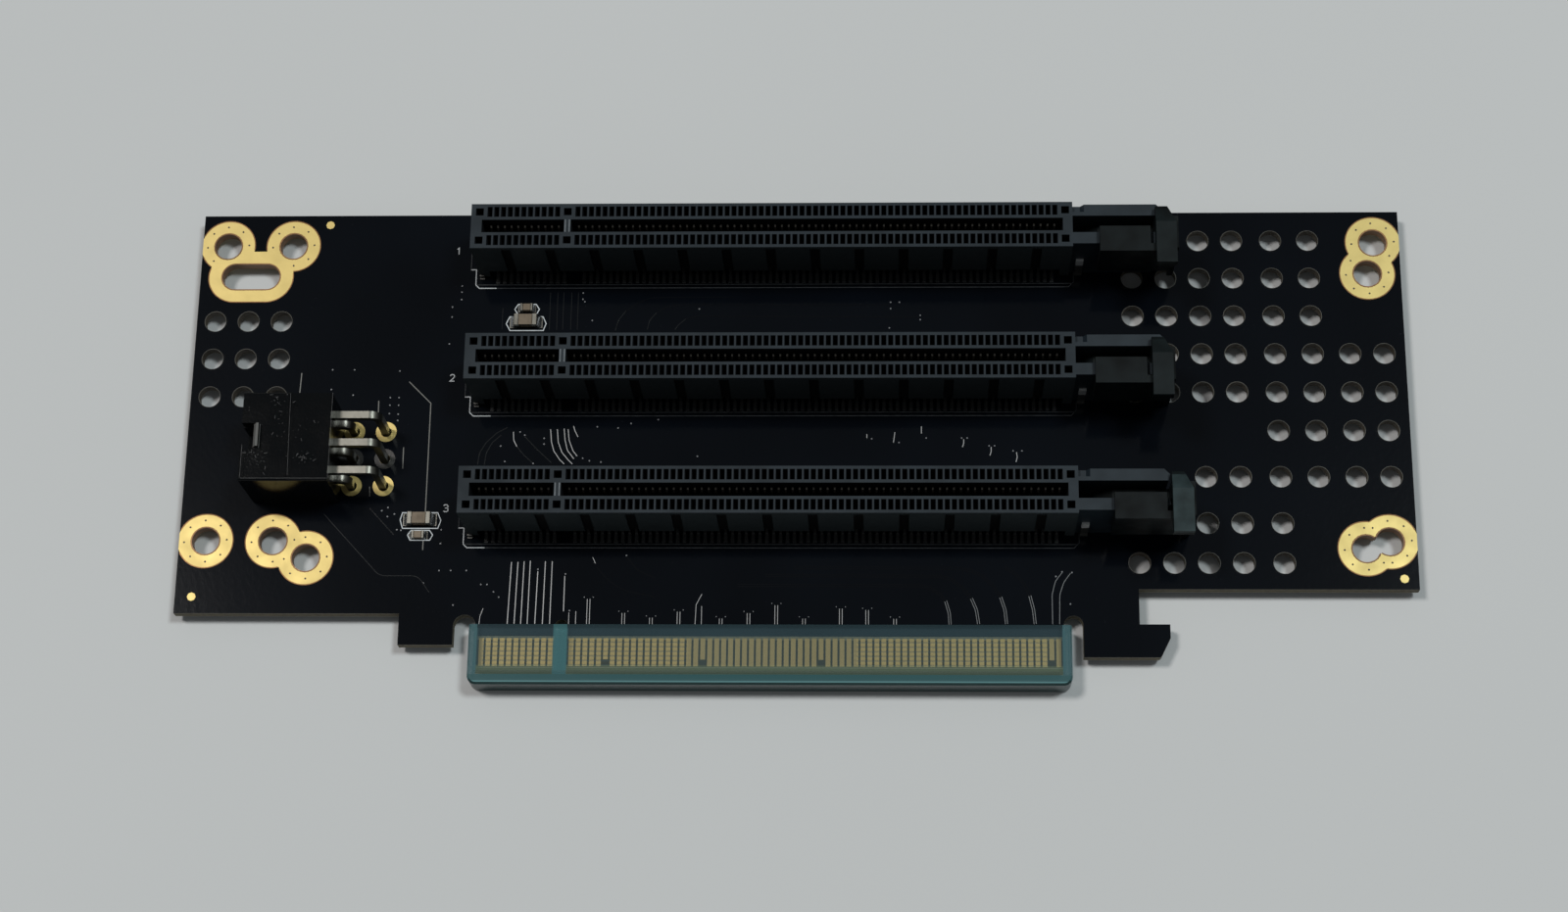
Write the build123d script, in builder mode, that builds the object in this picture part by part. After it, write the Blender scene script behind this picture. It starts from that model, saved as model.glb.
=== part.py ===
from build123d import *
import os

os.makedirs("parts", exist_ok=True)

# A riser card that carries three long expansion slots, lying on its back, component side up.
# X runs along the card edge, Y from the card edge towards the far slot, Z up. Millimetres.
# Heights are counted from the surface the card lies on, depths across the board from the
# lower left edge of the board, and the slots' own lengths from their keys.

# Circuit board
board_width = 180.0
board_depth = 62.5
board_thickness = 1.6
right_edge_rise = 3.8
hook_heel_x = 49.85

# Lower edge: the left tab, the contact tongue and the hook
tab_left = -57.0
tab_right = -49.05
tab_drop = 4.65
tongue_drop = 8.25
tongue_bevel = 0.4
hook_left = 41.8
hook_right = 54.2
hook_drop = 6.3
hook_top = -1.4
hook_toe_x = 52.75
hook_toe_y = -3.4
relief_height = -0.15
key_notch_width = 1.9
key_notch_height = -0.85
hook_corner_radius = 0.4

# Contacts, the same pitch on the tongue and in the slots
contact_pitch = 1.0
contacts_before_key = 11
contacts_after_key = 71
key_gap = 3.0
key_x = -33.3
finger_width = 0.7
finger_top = -3.6
finger_length = 4.15
short_finger_length = 3.15
plating = 0.05
finger_margin_left = 0.6
finger_margin_right = 0.45
short_fingers = (17, 31, 48, 81)

# Slots
slot_pitch = 20.32
slot_top_inset = 6.5
slot_height = 11.25
slot_width = 7.0
slot_left_margin = 2.75
slot_right_margin = 2.55
channel_width = 2.0
channel_depth = 7.8
channel_margin = 1.15
key_rib = 1.0
window_length = 1.5
window_width = 0.6
window_offset = 2.25
window_depth = 4.6
end_square = 1.15
end_square_margin = 1.5
panel_pitch = 6.5
panel_gap = 1.4
panel_recess = 0.3
panel_top = 0.9
skirt_height = 2.2
skirt_inset = 0.75
peg_radius = 1.1
peg_clearance = 0.1

# Arms at the slots' right end, which guide the latches
arm_length = 13.0
arm_inner = 1.3
arm_outer = 3.05
arm_tip_taper = 0.85
arm_tip_inner_taper = 0.28
arm_floor = 1.5
arm_notch_length = 1.7
arm_notch_floor = 1.15
arm_notch_depth = 0.8
arm_lip = 0.6

# Latches: how far each one stands out from its innermost place
latch_shifts = (1.1, 0.0, 2.25)
latch_clearance = 0.15
blade_height = 6.15
blade_nose_height = 4.45
blade_nose_slope = 2.6
wing_length = 7.35
wing_inner = 0.75
wing_thickness = 0.9
side_plate_thickness = 1.15
side_plate_bottom = 4.4
cap_length = 2.95
cap_thickness = 1.8
cap_groove = 0.75
cap_setback = 0.45
cap_overhang = 2.1
cap_inner = 2.3
cap_crease = 0.4
cap_slope_drop = 0.9
cap_corner = 1.2
heel_length = 0.85
heel_gap = 0.4
heel_bottom = 0.4
heel_overlap = 0.3

# Metal hold-downs: short ones beside the slots' left end, tall ones at the roots of the arms
hold_down_thickness = 0.3
hold_down_foot = 0.55
short_hold_down = (0.7, 0.9)
short_hold_down_inset = 0.4
tall_hold_down = (1.1, 5.2)
tall_hold_down_inset = 1.35

# Edge cover, a clear sleeve pushed over the tongue
cover_face_wall = 1.2
cover_left_wall = 0.65
cover_right_wall = 0.9
cover_lower_wall = 2.33
cover_top = -1.9
cover_clearance = 0.15
cover_corner = 1.3
cover_edge_bevel = 0.3

# Power inlet
inlet_mouth_inset = 10.55
inlet_length = 12.8
inlet_middle_y = 23.6
inlet_side_wall = 0.775
inlet_roof_wall = 1.475
inlet_rear_wall = 3.4
pin_pitch = 4.2
pin_size = 1.07
cell_size = 3.45
cell_chamfer = 0.7
pin_inset = 2.0
pin_bend = 1.2
pin_row_gap = 1.55
pin_row_spacing = 4.7
pin_hole_radius = 0.85
solder_radius = 1.5
solder_height = 0.9
solder_sides = 8
solder_tip_radius = 0.85
latch_ramp_length = 0.85
latch_ramp_width = 3.5
latch_ramp_height = 0.9
latch_ramp_rise = 0.5
mouth_cut_length = 1.8
mouth_cut_width = 4.0
roof_step_x = 6.9
roof_step = 0.2
inlet_round = 0.3

# Fixing holes and vents
fixing_radius = 2.2
fixing_pad_radius = 4.1
fixing_inset = 3.9
fixing_top_inset = 5.0
fixing_low = 10.95
inner_hole_step = 9.95
low_third_step = (14.9, -2.55)
top_right_step = (-1.05, -4.95)
low_right_step = (-3.4, -1.05)
long_hole_length = 9.1
long_hole_step = (3.78, -4.95)
vent_radius = 1.65
small_hole_sides = 8
pad_sides = 24
vent_left = 50.1
vent_right_inset = 3.1
vent_top_inset = 4.6
vent_low_rise = 3.95
vent_column_steps = (5.0, 5.0, 5.0, 5.8, 5.5, 5.5, 5.0)
vent_row_steps = (6.0, 6.0, 6.0, 6.0, 6.0, 7.1, 7.05, 6.0)
left_vent_inset = 2.8
left_vent_column_step = 5.0
left_vent_top = 45.35
left_vent_row_step = 6.0
alignment_dot_radius = 0.65
top_dot_inset = (19.25, 1.55)
left_dot_inset = (2.45, 2.5)
right_dot_inset = (2.1, 1.6)

# Ceramic capacitors: length, width and height
large_capacitor = (3.5, 1.65, 1.3)
small_capacitor = (1.9, 1.0, 0.8)
capacitor_end = 0.22
capacitor_end_proud = 0.04
capacitor_end_bevel = 0.1
lower_large_at = (-54.7, 14.2)
lower_small_at = (-54.8, 11.8)
upper_large_x = -40.3
upper_large_drop = 10.85
upper_small_x = -40.25
upper_small_drop = 8.7

# Levels and places worked out from the sizes above
cover_overhang = plating + cover_clearance + cover_face_wall
cover_reach = tongue_drop + cover_clearance + cover_lower_wall
board_back = cover_overhang
board_top = board_back + board_thickness
middle_y = (board_depth - cover_reach) / 2
half_width = board_width / 2
first_contact = key_x - key_gap / 2 - (contacts_before_key - 1) * contact_pitch
last_contact = key_x + key_gap / 2 + (contacts_after_key - 1) * contact_pitch
contact_xs = [first_contact + i * contact_pitch for i in range(contacts_before_key)]
contact_xs += [key_x + key_gap / 2 + i * contact_pitch for i in range(contacts_after_key)]
tongue_left = first_contact - finger_width / 2 - finger_margin_left
tongue_right = last_contact + finger_width / 2 + finger_margin_right
slot_left = first_contact - slot_left_margin
slot_right = last_contact + slot_right_margin
slot_rows = [board_depth - slot_top_inset - row * slot_pitch for row in range(3)]
peg_xs = (key_x, slot_right + arm_length / 3)
fixing_x = half_width - fixing_inset
fixing_top = board_depth - fixing_top_inset
inlet_width = 2 * pin_pitch + cell_size + 2 * inlet_side_wall
inlet_height = pin_pitch + cell_size + 2 * inlet_roof_wall
inlet_mouth_x = inlet_mouth_inset - half_width
inlet_rear_x = inlet_mouth_x + inlet_length
pin_row_near = inlet_rear_x + pin_row_gap
pin_row_far = pin_row_near + pin_row_spacing


def level(height, x=0.0, y=0.0):
    """A plane that faces up at a height above the surface, its origin x, y on the board."""
    return Plane(origin=(x, y - middle_y, height))


def profile(y, x=0.0, height=0.0):
    """An upright plane across the board's depth, seen from the card edge: X to the right, Z up."""
    return Plane(origin=(x, y - middle_y, height), x_dir=(1, 0, 0), z_dir=(0, -1, 0))


def section(x, y=0.0, height=0.0):
    """An upright plane square to the card edge, seen from the left: Y to the left, Z up."""
    return Plane(origin=(x, y - middle_y, height), x_dir=(0, -1, 0), z_dir=(-1, 0, 0))


def save(part, name):
    part.label = name
    export_step(part, f"parts/{name}.step")


# Fixing holes: closed round holes, a long hole and a pair that runs together at the lower right
fixing_holes = [
    (-fixing_x, fixing_top), (-fixing_x + inner_hole_step, fixing_top),
    (-fixing_x, fixing_low), (-fixing_x + inner_hole_step, fixing_low),
    (-fixing_x + low_third_step[0], fixing_low + low_third_step[1]),
    (fixing_x, fixing_top), (fixing_x + top_right_step[0], fixing_top + top_right_step[1]),
    (fixing_x, fixing_low), (fixing_x + low_right_step[0], fixing_low + low_right_step[1]),
]
long_hole = (-fixing_x + long_hole_step[0], fixing_top + long_hole_step[1])
long_hole_pad = (long_hole_length + 2 * (fixing_pad_radius - fixing_radius), 2 * fixing_pad_radius)

# Vents: a square of nine at the left, and a field that fills the room between the slots and the
# right edge. Each of its rows has the columns from a first one up to a last one
vent_field_width = half_width - vent_right_inset - vent_left
vent_field_depth = board_depth - vent_top_inset - right_edge_rise - vent_low_rise
vent_xs = [vent_left + vent_field_width * sum(vent_column_steps[:i]) / sum(vent_column_steps)
           for i in range(8)]
vent_ys = [board_depth - vent_top_inset - vent_field_depth * sum(vent_row_steps[:i]) / sum(vent_row_steps)
           for i in range(9)]
vent_spans = ((2, 6), (0, 6), (0, 6), (1, 8), (0, 8), (4, 8), (2, 8), (2, 5), (0, 5))
vents = [(left_vent_inset + column * left_vent_column_step - half_width,
          left_vent_top - row * left_vent_row_step)
         for row in range(3) for column in range(3)]
vents += [(x, y) for y, (first, stop) in zip(vent_ys, vent_spans) for x in vent_xs[first:stop]]
alignment_places = [
    (top_dot_inset[0] - half_width, board_depth - top_dot_inset[1]),
    (left_dot_inset[0] - half_width, left_dot_inset[1]),
    (half_width - right_dot_inset[0], right_edge_rise + right_dot_inset[1]),
]

# Power inlet pins: three across, in a near and a far row
pin_ys = [inlet_middle_y + (i - 1) * pin_pitch for i in range(3)]
near_holes = [(pin_row_near, y) for y in pin_ys]
far_holes = [(pin_row_far, y) for y in pin_ys]

# Circuit board
with BuildPart() as circuit_board:
    with BuildSketch(level(board_back)) as outline:
        with BuildLine() as edge:
            left_relief = (tongue_left - tab_right) / 2
            right_relief = (hook_left - tongue_right) / 2
            half_key = key_notch_width / 2
            Polyline((half_width, right_edge_rise), (half_width, board_depth), (-half_width, board_depth),
                     (-half_width, 0), (tab_left, 0), (tab_left, -tab_drop), (tab_right, -tab_drop),
                     (tab_right, relief_height - left_relief))
            ThreePointArc((tab_right, relief_height - left_relief), (tab_right + left_relief, relief_height),
                          (tongue_left, relief_height - left_relief))
            Polyline((tongue_left, relief_height - left_relief), (tongue_left, -tongue_drop),
                     (key_x - half_key, -tongue_drop), (key_x - half_key, key_notch_height - half_key))
            ThreePointArc((key_x - half_key, key_notch_height - half_key), (key_x, key_notch_height),
                          (key_x + half_key, key_notch_height - half_key))
            Polyline((key_x + half_key, key_notch_height - half_key), (key_x + half_key, -tongue_drop),
                     (tongue_right, -tongue_drop), (tongue_right, relief_height - right_relief))
            ThreePointArc((tongue_right, relief_height - right_relief),
                          (tongue_right + right_relief, relief_height),
                          (hook_left, relief_height - right_relief))
            Polyline((hook_left, relief_height - right_relief), (hook_left, -hook_drop),
                     (hook_toe_x, -hook_drop), (hook_right, hook_toe_y), (hook_right, hook_top),
                     (hook_heel_x, hook_top), (hook_heel_x, right_edge_rise), (half_width, right_edge_rise))
        make_face()
        hook_corner = outline.vertices().sort_by_distance((hook_right, hook_top - middle_y, board_back))[0]
        fillet(hook_corner, radius=hook_corner_radius)
        with Locations(*fixing_holes):
            Circle(fixing_radius, mode=Mode.SUBTRACT)
        with Locations(long_hole):
            SlotOverall(long_hole_length, 2 * fixing_radius, mode=Mode.SUBTRACT)
        # The small holes repeat so often that they are cut with eight flats, which touch the named radius
        for places, radius in ((vents, vent_radius), (near_holes + far_holes, pin_hole_radius),
                               ([(x, y) for x in peg_xs for y in slot_rows], peg_radius + peg_clearance)):
            with Locations(*places):
                RegularPolygon(radius, small_hole_sides, major_radius=False, mode=Mode.SUBTRACT)
    extrude(amount=board_thickness)
    chamfer(circuit_board.edges().filter_by(Axis.X).group_by(Axis.Y)[0], length=tongue_bevel)
save(circuit_board.part, "circuit_board")

# Gold pads round the fixing holes, which run together and end at the board's edge
with BuildPart() as fixing_pads:
    with BuildSketch(level(board_top)):
        with Locations(*fixing_holes):
            RegularPolygon(fixing_pad_radius, pad_sides)
        with Locations(long_hole):
            SlotOverall(*long_hole_pad)
        with Locations((0, board_depth / 2)):
            Rectangle(board_width, board_depth, mode=Mode.INTERSECT)
        with Locations(*fixing_holes):
            RegularPolygon(fixing_radius, pad_sides, major_radius=False, mode=Mode.SUBTRACT)
        with Locations(long_hole):
            SlotOverall(long_hole_length, 2 * fixing_radius, mode=Mode.SUBTRACT)
    extrude(amount=plating)
save(fixing_pads.part, "fixing_pads")

# Bare metal dots that a placing machine aligns on
with BuildPart() as alignment_dots:
    with BuildSketch(level(board_top)):
        with Locations(*alignment_places):
            RegularPolygon(alignment_dot_radius, small_hole_sides)
    extrude(amount=plating)
save(alignment_dots.part, "alignment_dots")

# Edge contacts: a plated finger at each contact, on both faces, a few of them short
full_xs = [x for place, x in enumerate(contact_xs, start=1) if place not in short_fingers]
short_xs = [x for place, x in enumerate(contact_xs, start=1) if place in short_fingers]
for name, height, up in (("edge_contacts_front", board_top, 1), ("edge_contacts_back", board_back, -1)):
    with BuildPart() as fingers:
        for xs, length in ((full_xs, finger_length), (short_xs, short_finger_length)):
            with BuildSketch(level(height)):
                with Locations(*[(x, finger_top) for x in xs]):
                    Rectangle(finger_width, length, align=(Align.CENTER, Align.MAX))
            extrude(amount=up * plating)
    save(fingers.part, name)

# Slots: one moulding each, with its hold-downs and its latch
body_length = slot_right - slot_left
channel_left = first_contact - channel_margin
channel_right = last_contact + channel_margin
squares = (first_contact - end_square_margin, key_x, last_contact + end_square_margin)
panel_count = int(body_length / panel_pitch)
gap_xs = [slot_left + (body_length - (panel_count - 1) * panel_pitch) / 2 + i * panel_pitch
          for i in range(panel_count)]
half_slot = slot_width / 2
panel_height = slot_height - panel_top - skirt_height

# Latch sizes, counted from its innermost place
half_blade = arm_inner - latch_clearance
blade_bottom = arm_floor + latch_clearance
cap_underside = slot_height + latch_clearance
cap_top = cap_underside + cap_thickness
wing_top = cap_underside + wing_thickness
plate_inner = arm_outer + hold_down_thickness + latch_clearance
wing_outer = plate_inner + side_plate_thickness
cap_outer = wing_outer + cap_overhang
heel_start = arm_length + heel_gap
heel_end = heel_start + heel_length
cap_end = heel_end - cap_setback
cap_start = cap_end - cap_length
wing_start = cap_start - cap_groove - wing_length

for number, slot_y in enumerate(slot_rows, start=1):
    foot = level(board_top, 0, slot_y)
    top = level(board_top + slot_height, 0, slot_y)
    with BuildPart() as housing:
        # Body with the two arms, which narrow to a point at their tips
        with BuildSketch(foot):
            with Locations((slot_left, 0)):
                Rectangle(body_length, slot_width, align=(Align.MIN, Align.CENTER))
            for side in (1, -1):
                with BuildLine():
                    Polyline((slot_right, side * arm_inner), (slot_right, side * arm_outer),
                             (slot_right + arm_length - arm_tip_taper, side * arm_outer),
                             (slot_right + arm_length, side * (arm_outer - arm_tip_taper)),
                             (slot_right + arm_length - arm_tip_inner_taper, side * arm_inner), close=True)
                make_face()
        extrude(amount=slot_height)
        # Floor between the arms
        with BuildSketch(foot):
            with Locations((slot_right, 0)):
                Rectangle(arm_length - arm_tip_taper, 2 * arm_inner, align=(Align.MIN, Align.CENTER))
        extrude(amount=arm_floor)
        # Undercut along the foot, where the contact tails come out, and the gaps between wall panels
        for side in (1, -1):
            wall = profile(slot_y + side * half_slot, 0, board_top)
            with BuildSketch(wall):
                with Locations((channel_left, 0)):
                    Rectangle(channel_right - channel_left, skirt_height, align=Align.MIN)
            extrude(amount=side * skirt_inset, mode=Mode.SUBTRACT)
            with BuildSketch(wall):
                with Locations(*[(x, skirt_height) for x in gap_xs]):
                    Rectangle(panel_gap, panel_height, align=(Align.CENTER, Align.MIN))
            extrude(amount=side * panel_recess, mode=Mode.SUBTRACT)
        # Sloped notch across the far arm's root, short of the lip along the channel
        with BuildSketch(profile(slot_y + arm_outer, slot_right, board_top + slot_height)):
            with BuildLine():
                Polyline((0, 0), (0, -arm_notch_depth), (arm_notch_floor, -arm_notch_depth),
                         (arm_notch_length, 0), close=True)
            make_face()
        extrude(amount=arm_outer - arm_inner - arm_lip, mode=Mode.SUBTRACT)
        # Locating pegs with flats, through the board to the level of the cover's underside
        with BuildSketch(foot):
            with Locations(*[(x, 0) for x in peg_xs]):
                RegularPolygon(peg_radius, small_hole_sides)
        extrude(amount=-board_top)
        # Card channel, left and right of the key rib
        with BuildSketch(top):
            for start, stop in ((channel_left, key_x - key_rib / 2), (key_x + key_rib / 2, channel_right)):
                with Locations((start, 0)):
                    Rectangle(stop - start, channel_width, align=(Align.MIN, Align.CENTER))
        extrude(amount=-channel_depth, mode=Mode.SUBTRACT)
        # Contact windows in two rows, with a square well at each end and at the key
        with BuildSketch(top):
            with Locations(*[(x, side * window_offset) for x in contact_xs for side in (1, -1)]):
                Rectangle(window_width, window_length)
            with Locations(*[(x, side * window_offset) for x in squares for side in (1, -1)]):
                Rectangle(end_square, end_square)
        extrude(amount=-window_depth, mode=Mode.SUBTRACT)
    save(housing.part, f"slot_housing_{number}")

    # Hold-downs: a flat plate up each side of each end, of a width and height, turned out into a solder foot
    with BuildPart() as hold_downs:
        for x, outer, (width, height) in ((slot_left + short_hold_down_inset, half_slot, short_hold_down),
                                          (slot_right + tall_hold_down_inset, arm_outer, tall_hold_down)):
            for side in (1, -1):
                with BuildSketch(section(x, slot_y, board_top)):
                    with BuildLine():
                        inner = -side * outer
                        face = inner - side * hold_down_thickness
                        Polyline((inner, 0), (inner - side * hold_down_foot, 0),
                                 (inner - side * hold_down_foot, hold_down_thickness),
                                 (face, hold_down_thickness), (face, height), (inner, height), close=True)
                    make_face()
                extrude(amount=width / 2, both=True)
    save(hold_downs.part, f"slot_hold_downs_{number}")

    # Latch: a blade that slides between the arms, a side plate and wing for the finger, and a cross cap
    start = slot_right + latch_shifts[number - 1]
    with BuildPart() as latch:
        # Blade with its sloping nose, rising to the cap behind the arms' tips
        with BuildSketch(profile(slot_y + half_blade, start, board_top)):
            with BuildLine():
                Polyline((latch_clearance, blade_bottom), (latch_clearance, blade_bottom + blade_nose_height),
                         (latch_clearance + blade_nose_slope, blade_bottom + blade_height),
                         (cap_start, blade_bottom + blade_height), (cap_start, cap_underside),
                         (heel_end, cap_underside), (heel_end, blade_bottom), close=True)
            make_face()
        extrude(amount=2 * half_blade)
        # Side plate outside the near arm
        with BuildSketch(profile(slot_y - plate_inner, start, board_top)):
            with Locations((wing_start, side_plate_bottom)):
                Rectangle(cap_end - wing_start, wing_top - side_plate_bottom, align=Align.MIN)
        extrude(amount=side_plate_thickness)
        # Finger wing over the near arm
        with BuildSketch(level(board_top + wing_top, start, slot_y)):
            with Locations((wing_start, -wing_inner)):
                Rectangle(wing_length, wing_outer - wing_inner, align=(Align.MIN, Align.MAX))
        extrude(amount=-wing_thickness)
        # Heel that joins the blade and the side plate beyond the arms' tips
        with BuildSketch(level(board_top + heel_bottom, start, slot_y)):
            with Locations((heel_start, -plate_inner - heel_overlap)):
                Rectangle(heel_length, plate_inner + heel_overlap + half_blade, align=Align.MIN)
        extrude(amount=cap_underside - heel_bottom)
        # Cross cap, cut back at its far corner and sloping down behind the crease
        with BuildSketch(level(board_top + cap_underside, start, slot_y)):
            with BuildLine():
                Polyline((cap_start, -cap_outer), (cap_end, -cap_outer), (cap_end, -cap_crease),
                         (cap_end - cap_corner, cap_inner), (cap_start, cap_inner), close=True)
            make_face()
        extrude(amount=cap_thickness)
        with BuildSketch(section(start + cap_start, slot_y, board_top)):
            with BuildLine():
                Polyline((cap_crease, cap_top), (-cap_inner, cap_top), (-cap_inner, cap_top - cap_slope_drop),
                         close=True)
            make_face()
        extrude(amount=-cap_length, mode=Mode.SUBTRACT)
    save(latch.part, f"slot_latch_{number}")

# Power inlet housing: six keyed cells behind the mouth, a latch ramp on the roof
inlet_middle_z = board_top + inlet_height / 2
rows_z = (inlet_middle_z - pin_pitch / 2, inlet_middle_z + pin_pitch / 2)
with BuildPart() as inlet_housing:
    with BuildSketch(level(board_top, inlet_mouth_x, inlet_middle_y)):
        Rectangle(inlet_length, inlet_width, align=(Align.MIN, Align.CENTER))
    extrude(amount=inlet_height)
    fillet(inlet_housing.edges().filter_by(Axis.X).group_by(Axis.Z)[-1], radius=inlet_round)
    with BuildSketch(section(inlet_mouth_x, inlet_middle_y, inlet_middle_z)):
        for row in (-1, 1):
            for column in (-1, 0, 1):
                place = (column * pin_pitch, row * pin_pitch / 2)
                with Locations(place):
                    cell = Rectangle(cell_size, cell_size)
                    if (row + column) % 2 == 0:
                        chamfer(cell.vertices(), length=cell_chamfer)
    extrude(amount=inlet_rear_wall - inlet_length, mode=Mode.SUBTRACT)
    # Pin holes through the rear wall
    with BuildSketch(section(inlet_mouth_x, inlet_middle_y, inlet_middle_z)):
        with GridLocations(pin_pitch, pin_pitch, 3, 2):
            Rectangle(pin_size, pin_size)
    extrude(amount=-inlet_length, mode=Mode.SUBTRACT)
    # The roof steps down behind the mouth half, and is cut away at the middle of the mouth
    roof = board_top + inlet_height
    with BuildSketch(level(roof, inlet_mouth_x + roof_step_x, inlet_middle_y)):
        Rectangle(inlet_length - roof_step_x, inlet_width, align=(Align.MIN, Align.CENTER))
    extrude(amount=-roof_step, mode=Mode.SUBTRACT)
    with BuildSketch(level(roof, inlet_mouth_x, inlet_middle_y)):
        Rectangle(mouth_cut_length, mouth_cut_width, align=(Align.MIN, Align.CENTER))
    extrude(amount=-inlet_roof_wall, mode=Mode.SUBTRACT)
    with BuildSketch(profile(inlet_middle_y + latch_ramp_width / 2, inlet_mouth_x + mouth_cut_length, roof)):
        with BuildLine():
            Polyline((0, 0), (latch_ramp_rise, latch_ramp_height),
                     (latch_ramp_length, latch_ramp_height), (latch_ramp_length, 0), close=True)
        make_face()
    extrude(amount=latch_ramp_width)
save(inlet_housing.part, "power_inlet_housing")

# Power inlet pins: square wire, bent down behind the housing and through the board
pin_tip_x = inlet_mouth_x + pin_inset
pin_rows = (("power_pins_lower", rows_z[0], pin_row_near), ("power_pins_upper", rows_z[1], pin_row_far))
for name, height, drop_x in pin_rows:
    with BuildPart() as pins:
        for y in pin_ys:
            with BuildLine(profile(y)) as route:
                FilletPolyline((pin_tip_x, height), (drop_x, height), (drop_x, 0), radius=pin_bend)
            with BuildSketch(section(pin_tip_x, y, height)):
                Rectangle(pin_size, pin_size)
            sweep(path=route.wires()[0])
    save(pins.part, name)

# Solder on the board's back, drawn up in a fillet round each pin
with BuildPart() as solder:
    for place in near_holes + far_holes:
        with BuildSketch(level(board_back)):
            with Locations(place):
                RegularPolygon(solder_radius, solder_sides)
        with BuildSketch(level(board_back - solder_height)):
            with Locations(place):
                RegularPolygon(solder_tip_radius, solder_sides)
        loft(ruled=True)
    with BuildSketch(level(board_back)):
        with Locations(*near_holes, *far_holes):
            Rectangle(pin_size, pin_size)
    extrude(amount=-solder_height, mode=Mode.SUBTRACT)
save(solder.part, "power_pin_solder")

# Ceramic capacitors: a brown block with a metal cap at each end
upper_large_at = (upper_large_x, slot_rows[0] - upper_large_drop)
upper_small_at = (upper_small_x, slot_rows[0] - upper_small_drop)
capacitors = [
    (lower_large_at, large_capacitor), (lower_small_at, small_capacitor),
    (upper_large_at, large_capacitor), (upper_small_at, small_capacitor),
]
with BuildPart() as capacitor_bodies:
    for place, (length, width, height) in capacitors:
        with BuildSketch(level(board_top + capacitor_end_proud)):
            with Locations(place):
                Rectangle(length - 2 * length * capacitor_end, width)
        extrude(amount=height)
save(capacitor_bodies.part, "capacitor_bodies")

with BuildPart() as capacitor_ends:
    for (x, y), (length, width, height) in capacitors:
        end = length * capacitor_end
        with BuildSketch(level(board_top)):
            with Locations((x - (length - end) / 2, y), (x + (length - end) / 2, y)):
                Rectangle(end, width + 2 * capacitor_end_proud)
        extrude(amount=height + 2 * capacitor_end_proud)
    upper_edges = capacitor_ends.edges().filter_by(Axis.Y).filter_by(lambda edge: edge.center().Z > board_top)
    chamfer(upper_edges, length=capacitor_end_bevel)
save(capacitor_ends.part, "capacitor_ends")

# Edge cover: a flat sleeve, closed at its ends and its lower edge, open towards the board
cavity_left = tongue_left - cover_clearance
cavity_right = tongue_right + cover_clearance
cover_left = cavity_left - cover_left_wall
cover_width = cavity_right + cover_right_wall - cover_left
with BuildPart() as edge_cover:
    with BuildSketch(level(0)) as sleeve:
        with Locations((cover_left, -cover_reach)):
            Rectangle(cover_width, cover_reach + cover_top, align=Align.MIN)
        fillet(sleeve.vertices().group_by(Axis.Y)[0], radius=cover_corner)
    extrude(amount=board_thickness + 2 * cover_overhang)
    chamfer(edge_cover.edges().filter_by(Axis.X).group_by(Axis.Y)[0], length=cover_edge_bevel)
    with BuildSketch(level(cover_face_wall)):
        with Locations((cavity_left, cover_lower_wall - cover_reach)):
            Rectangle(cavity_right - cavity_left, cover_reach - cover_lower_wall, align=Align.MIN)
    extrude(amount=board_thickness + 2 * (plating + cover_clearance), mode=Mode.SUBTRACT)
save(edge_cover.part, "edge_cover")
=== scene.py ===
import math
import random

import bmesh
import bpy
from mathutils import Matrix, Vector


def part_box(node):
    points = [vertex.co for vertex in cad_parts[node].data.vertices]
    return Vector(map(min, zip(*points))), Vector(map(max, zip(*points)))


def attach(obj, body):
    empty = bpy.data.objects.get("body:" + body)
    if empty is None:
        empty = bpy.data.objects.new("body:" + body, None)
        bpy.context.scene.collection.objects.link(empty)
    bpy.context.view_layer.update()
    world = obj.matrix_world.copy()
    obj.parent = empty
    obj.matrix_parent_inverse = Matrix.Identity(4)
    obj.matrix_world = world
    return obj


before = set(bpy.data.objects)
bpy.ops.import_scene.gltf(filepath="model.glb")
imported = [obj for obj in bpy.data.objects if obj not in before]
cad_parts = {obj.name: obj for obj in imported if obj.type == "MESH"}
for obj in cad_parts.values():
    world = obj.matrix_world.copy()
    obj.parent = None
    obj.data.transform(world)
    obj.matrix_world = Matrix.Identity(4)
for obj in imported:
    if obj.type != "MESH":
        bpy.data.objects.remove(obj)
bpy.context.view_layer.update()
scene = bpy.context.scene

# Units and the places that everything is drawn from
MM = 0.001
board_low, board_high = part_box("circuit_board")
board_top = board_high.z
board_back = board_low.z
board_depth = 62.5 * MM
zero_y = board_high.y - board_depth
inlet_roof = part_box("power_inlet_housing")[1].z
slot_numbers = (1, 2, 3)

# The same driving sizes as the construction, in millimetres
contact_pitch = 1.0
key_x = -33.3
key_gap = 3.0
contacts_before_key = 11
contacts_after_key = 71
lowest_slot = 15.36
slot_pitch = 20.32
slot_height = 11.25
fixing_radius = 2.2
fixing_pad_radius = 4.1
vent_radius = 1.65
inlet_pin_xs = (-65.1, -60.4)
inlet_pin_ys = (19.4, 23.6, 27.8)

slot_rows = [lowest_slot + slot_pitch * row for row in (2, 1, 0)]
contact_xs = [key_x - key_gap / 2 - i * contact_pitch for i in reversed(range(contacts_before_key))]
contact_xs += [key_x + key_gap / 2 + i * contact_pitch for i in range(contacts_after_key)]
contact_middle = (contact_xs[0] + contact_xs[-1]) / 2

# Levels on the tongue and the sleeve, in millimetres from the board's lower left edge
mask_edge = -3.3
fingers_top = -3.85
fingers_foot = -7.95
lip_top = -9.26
lip_rim = lip_top - 0.95

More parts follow.
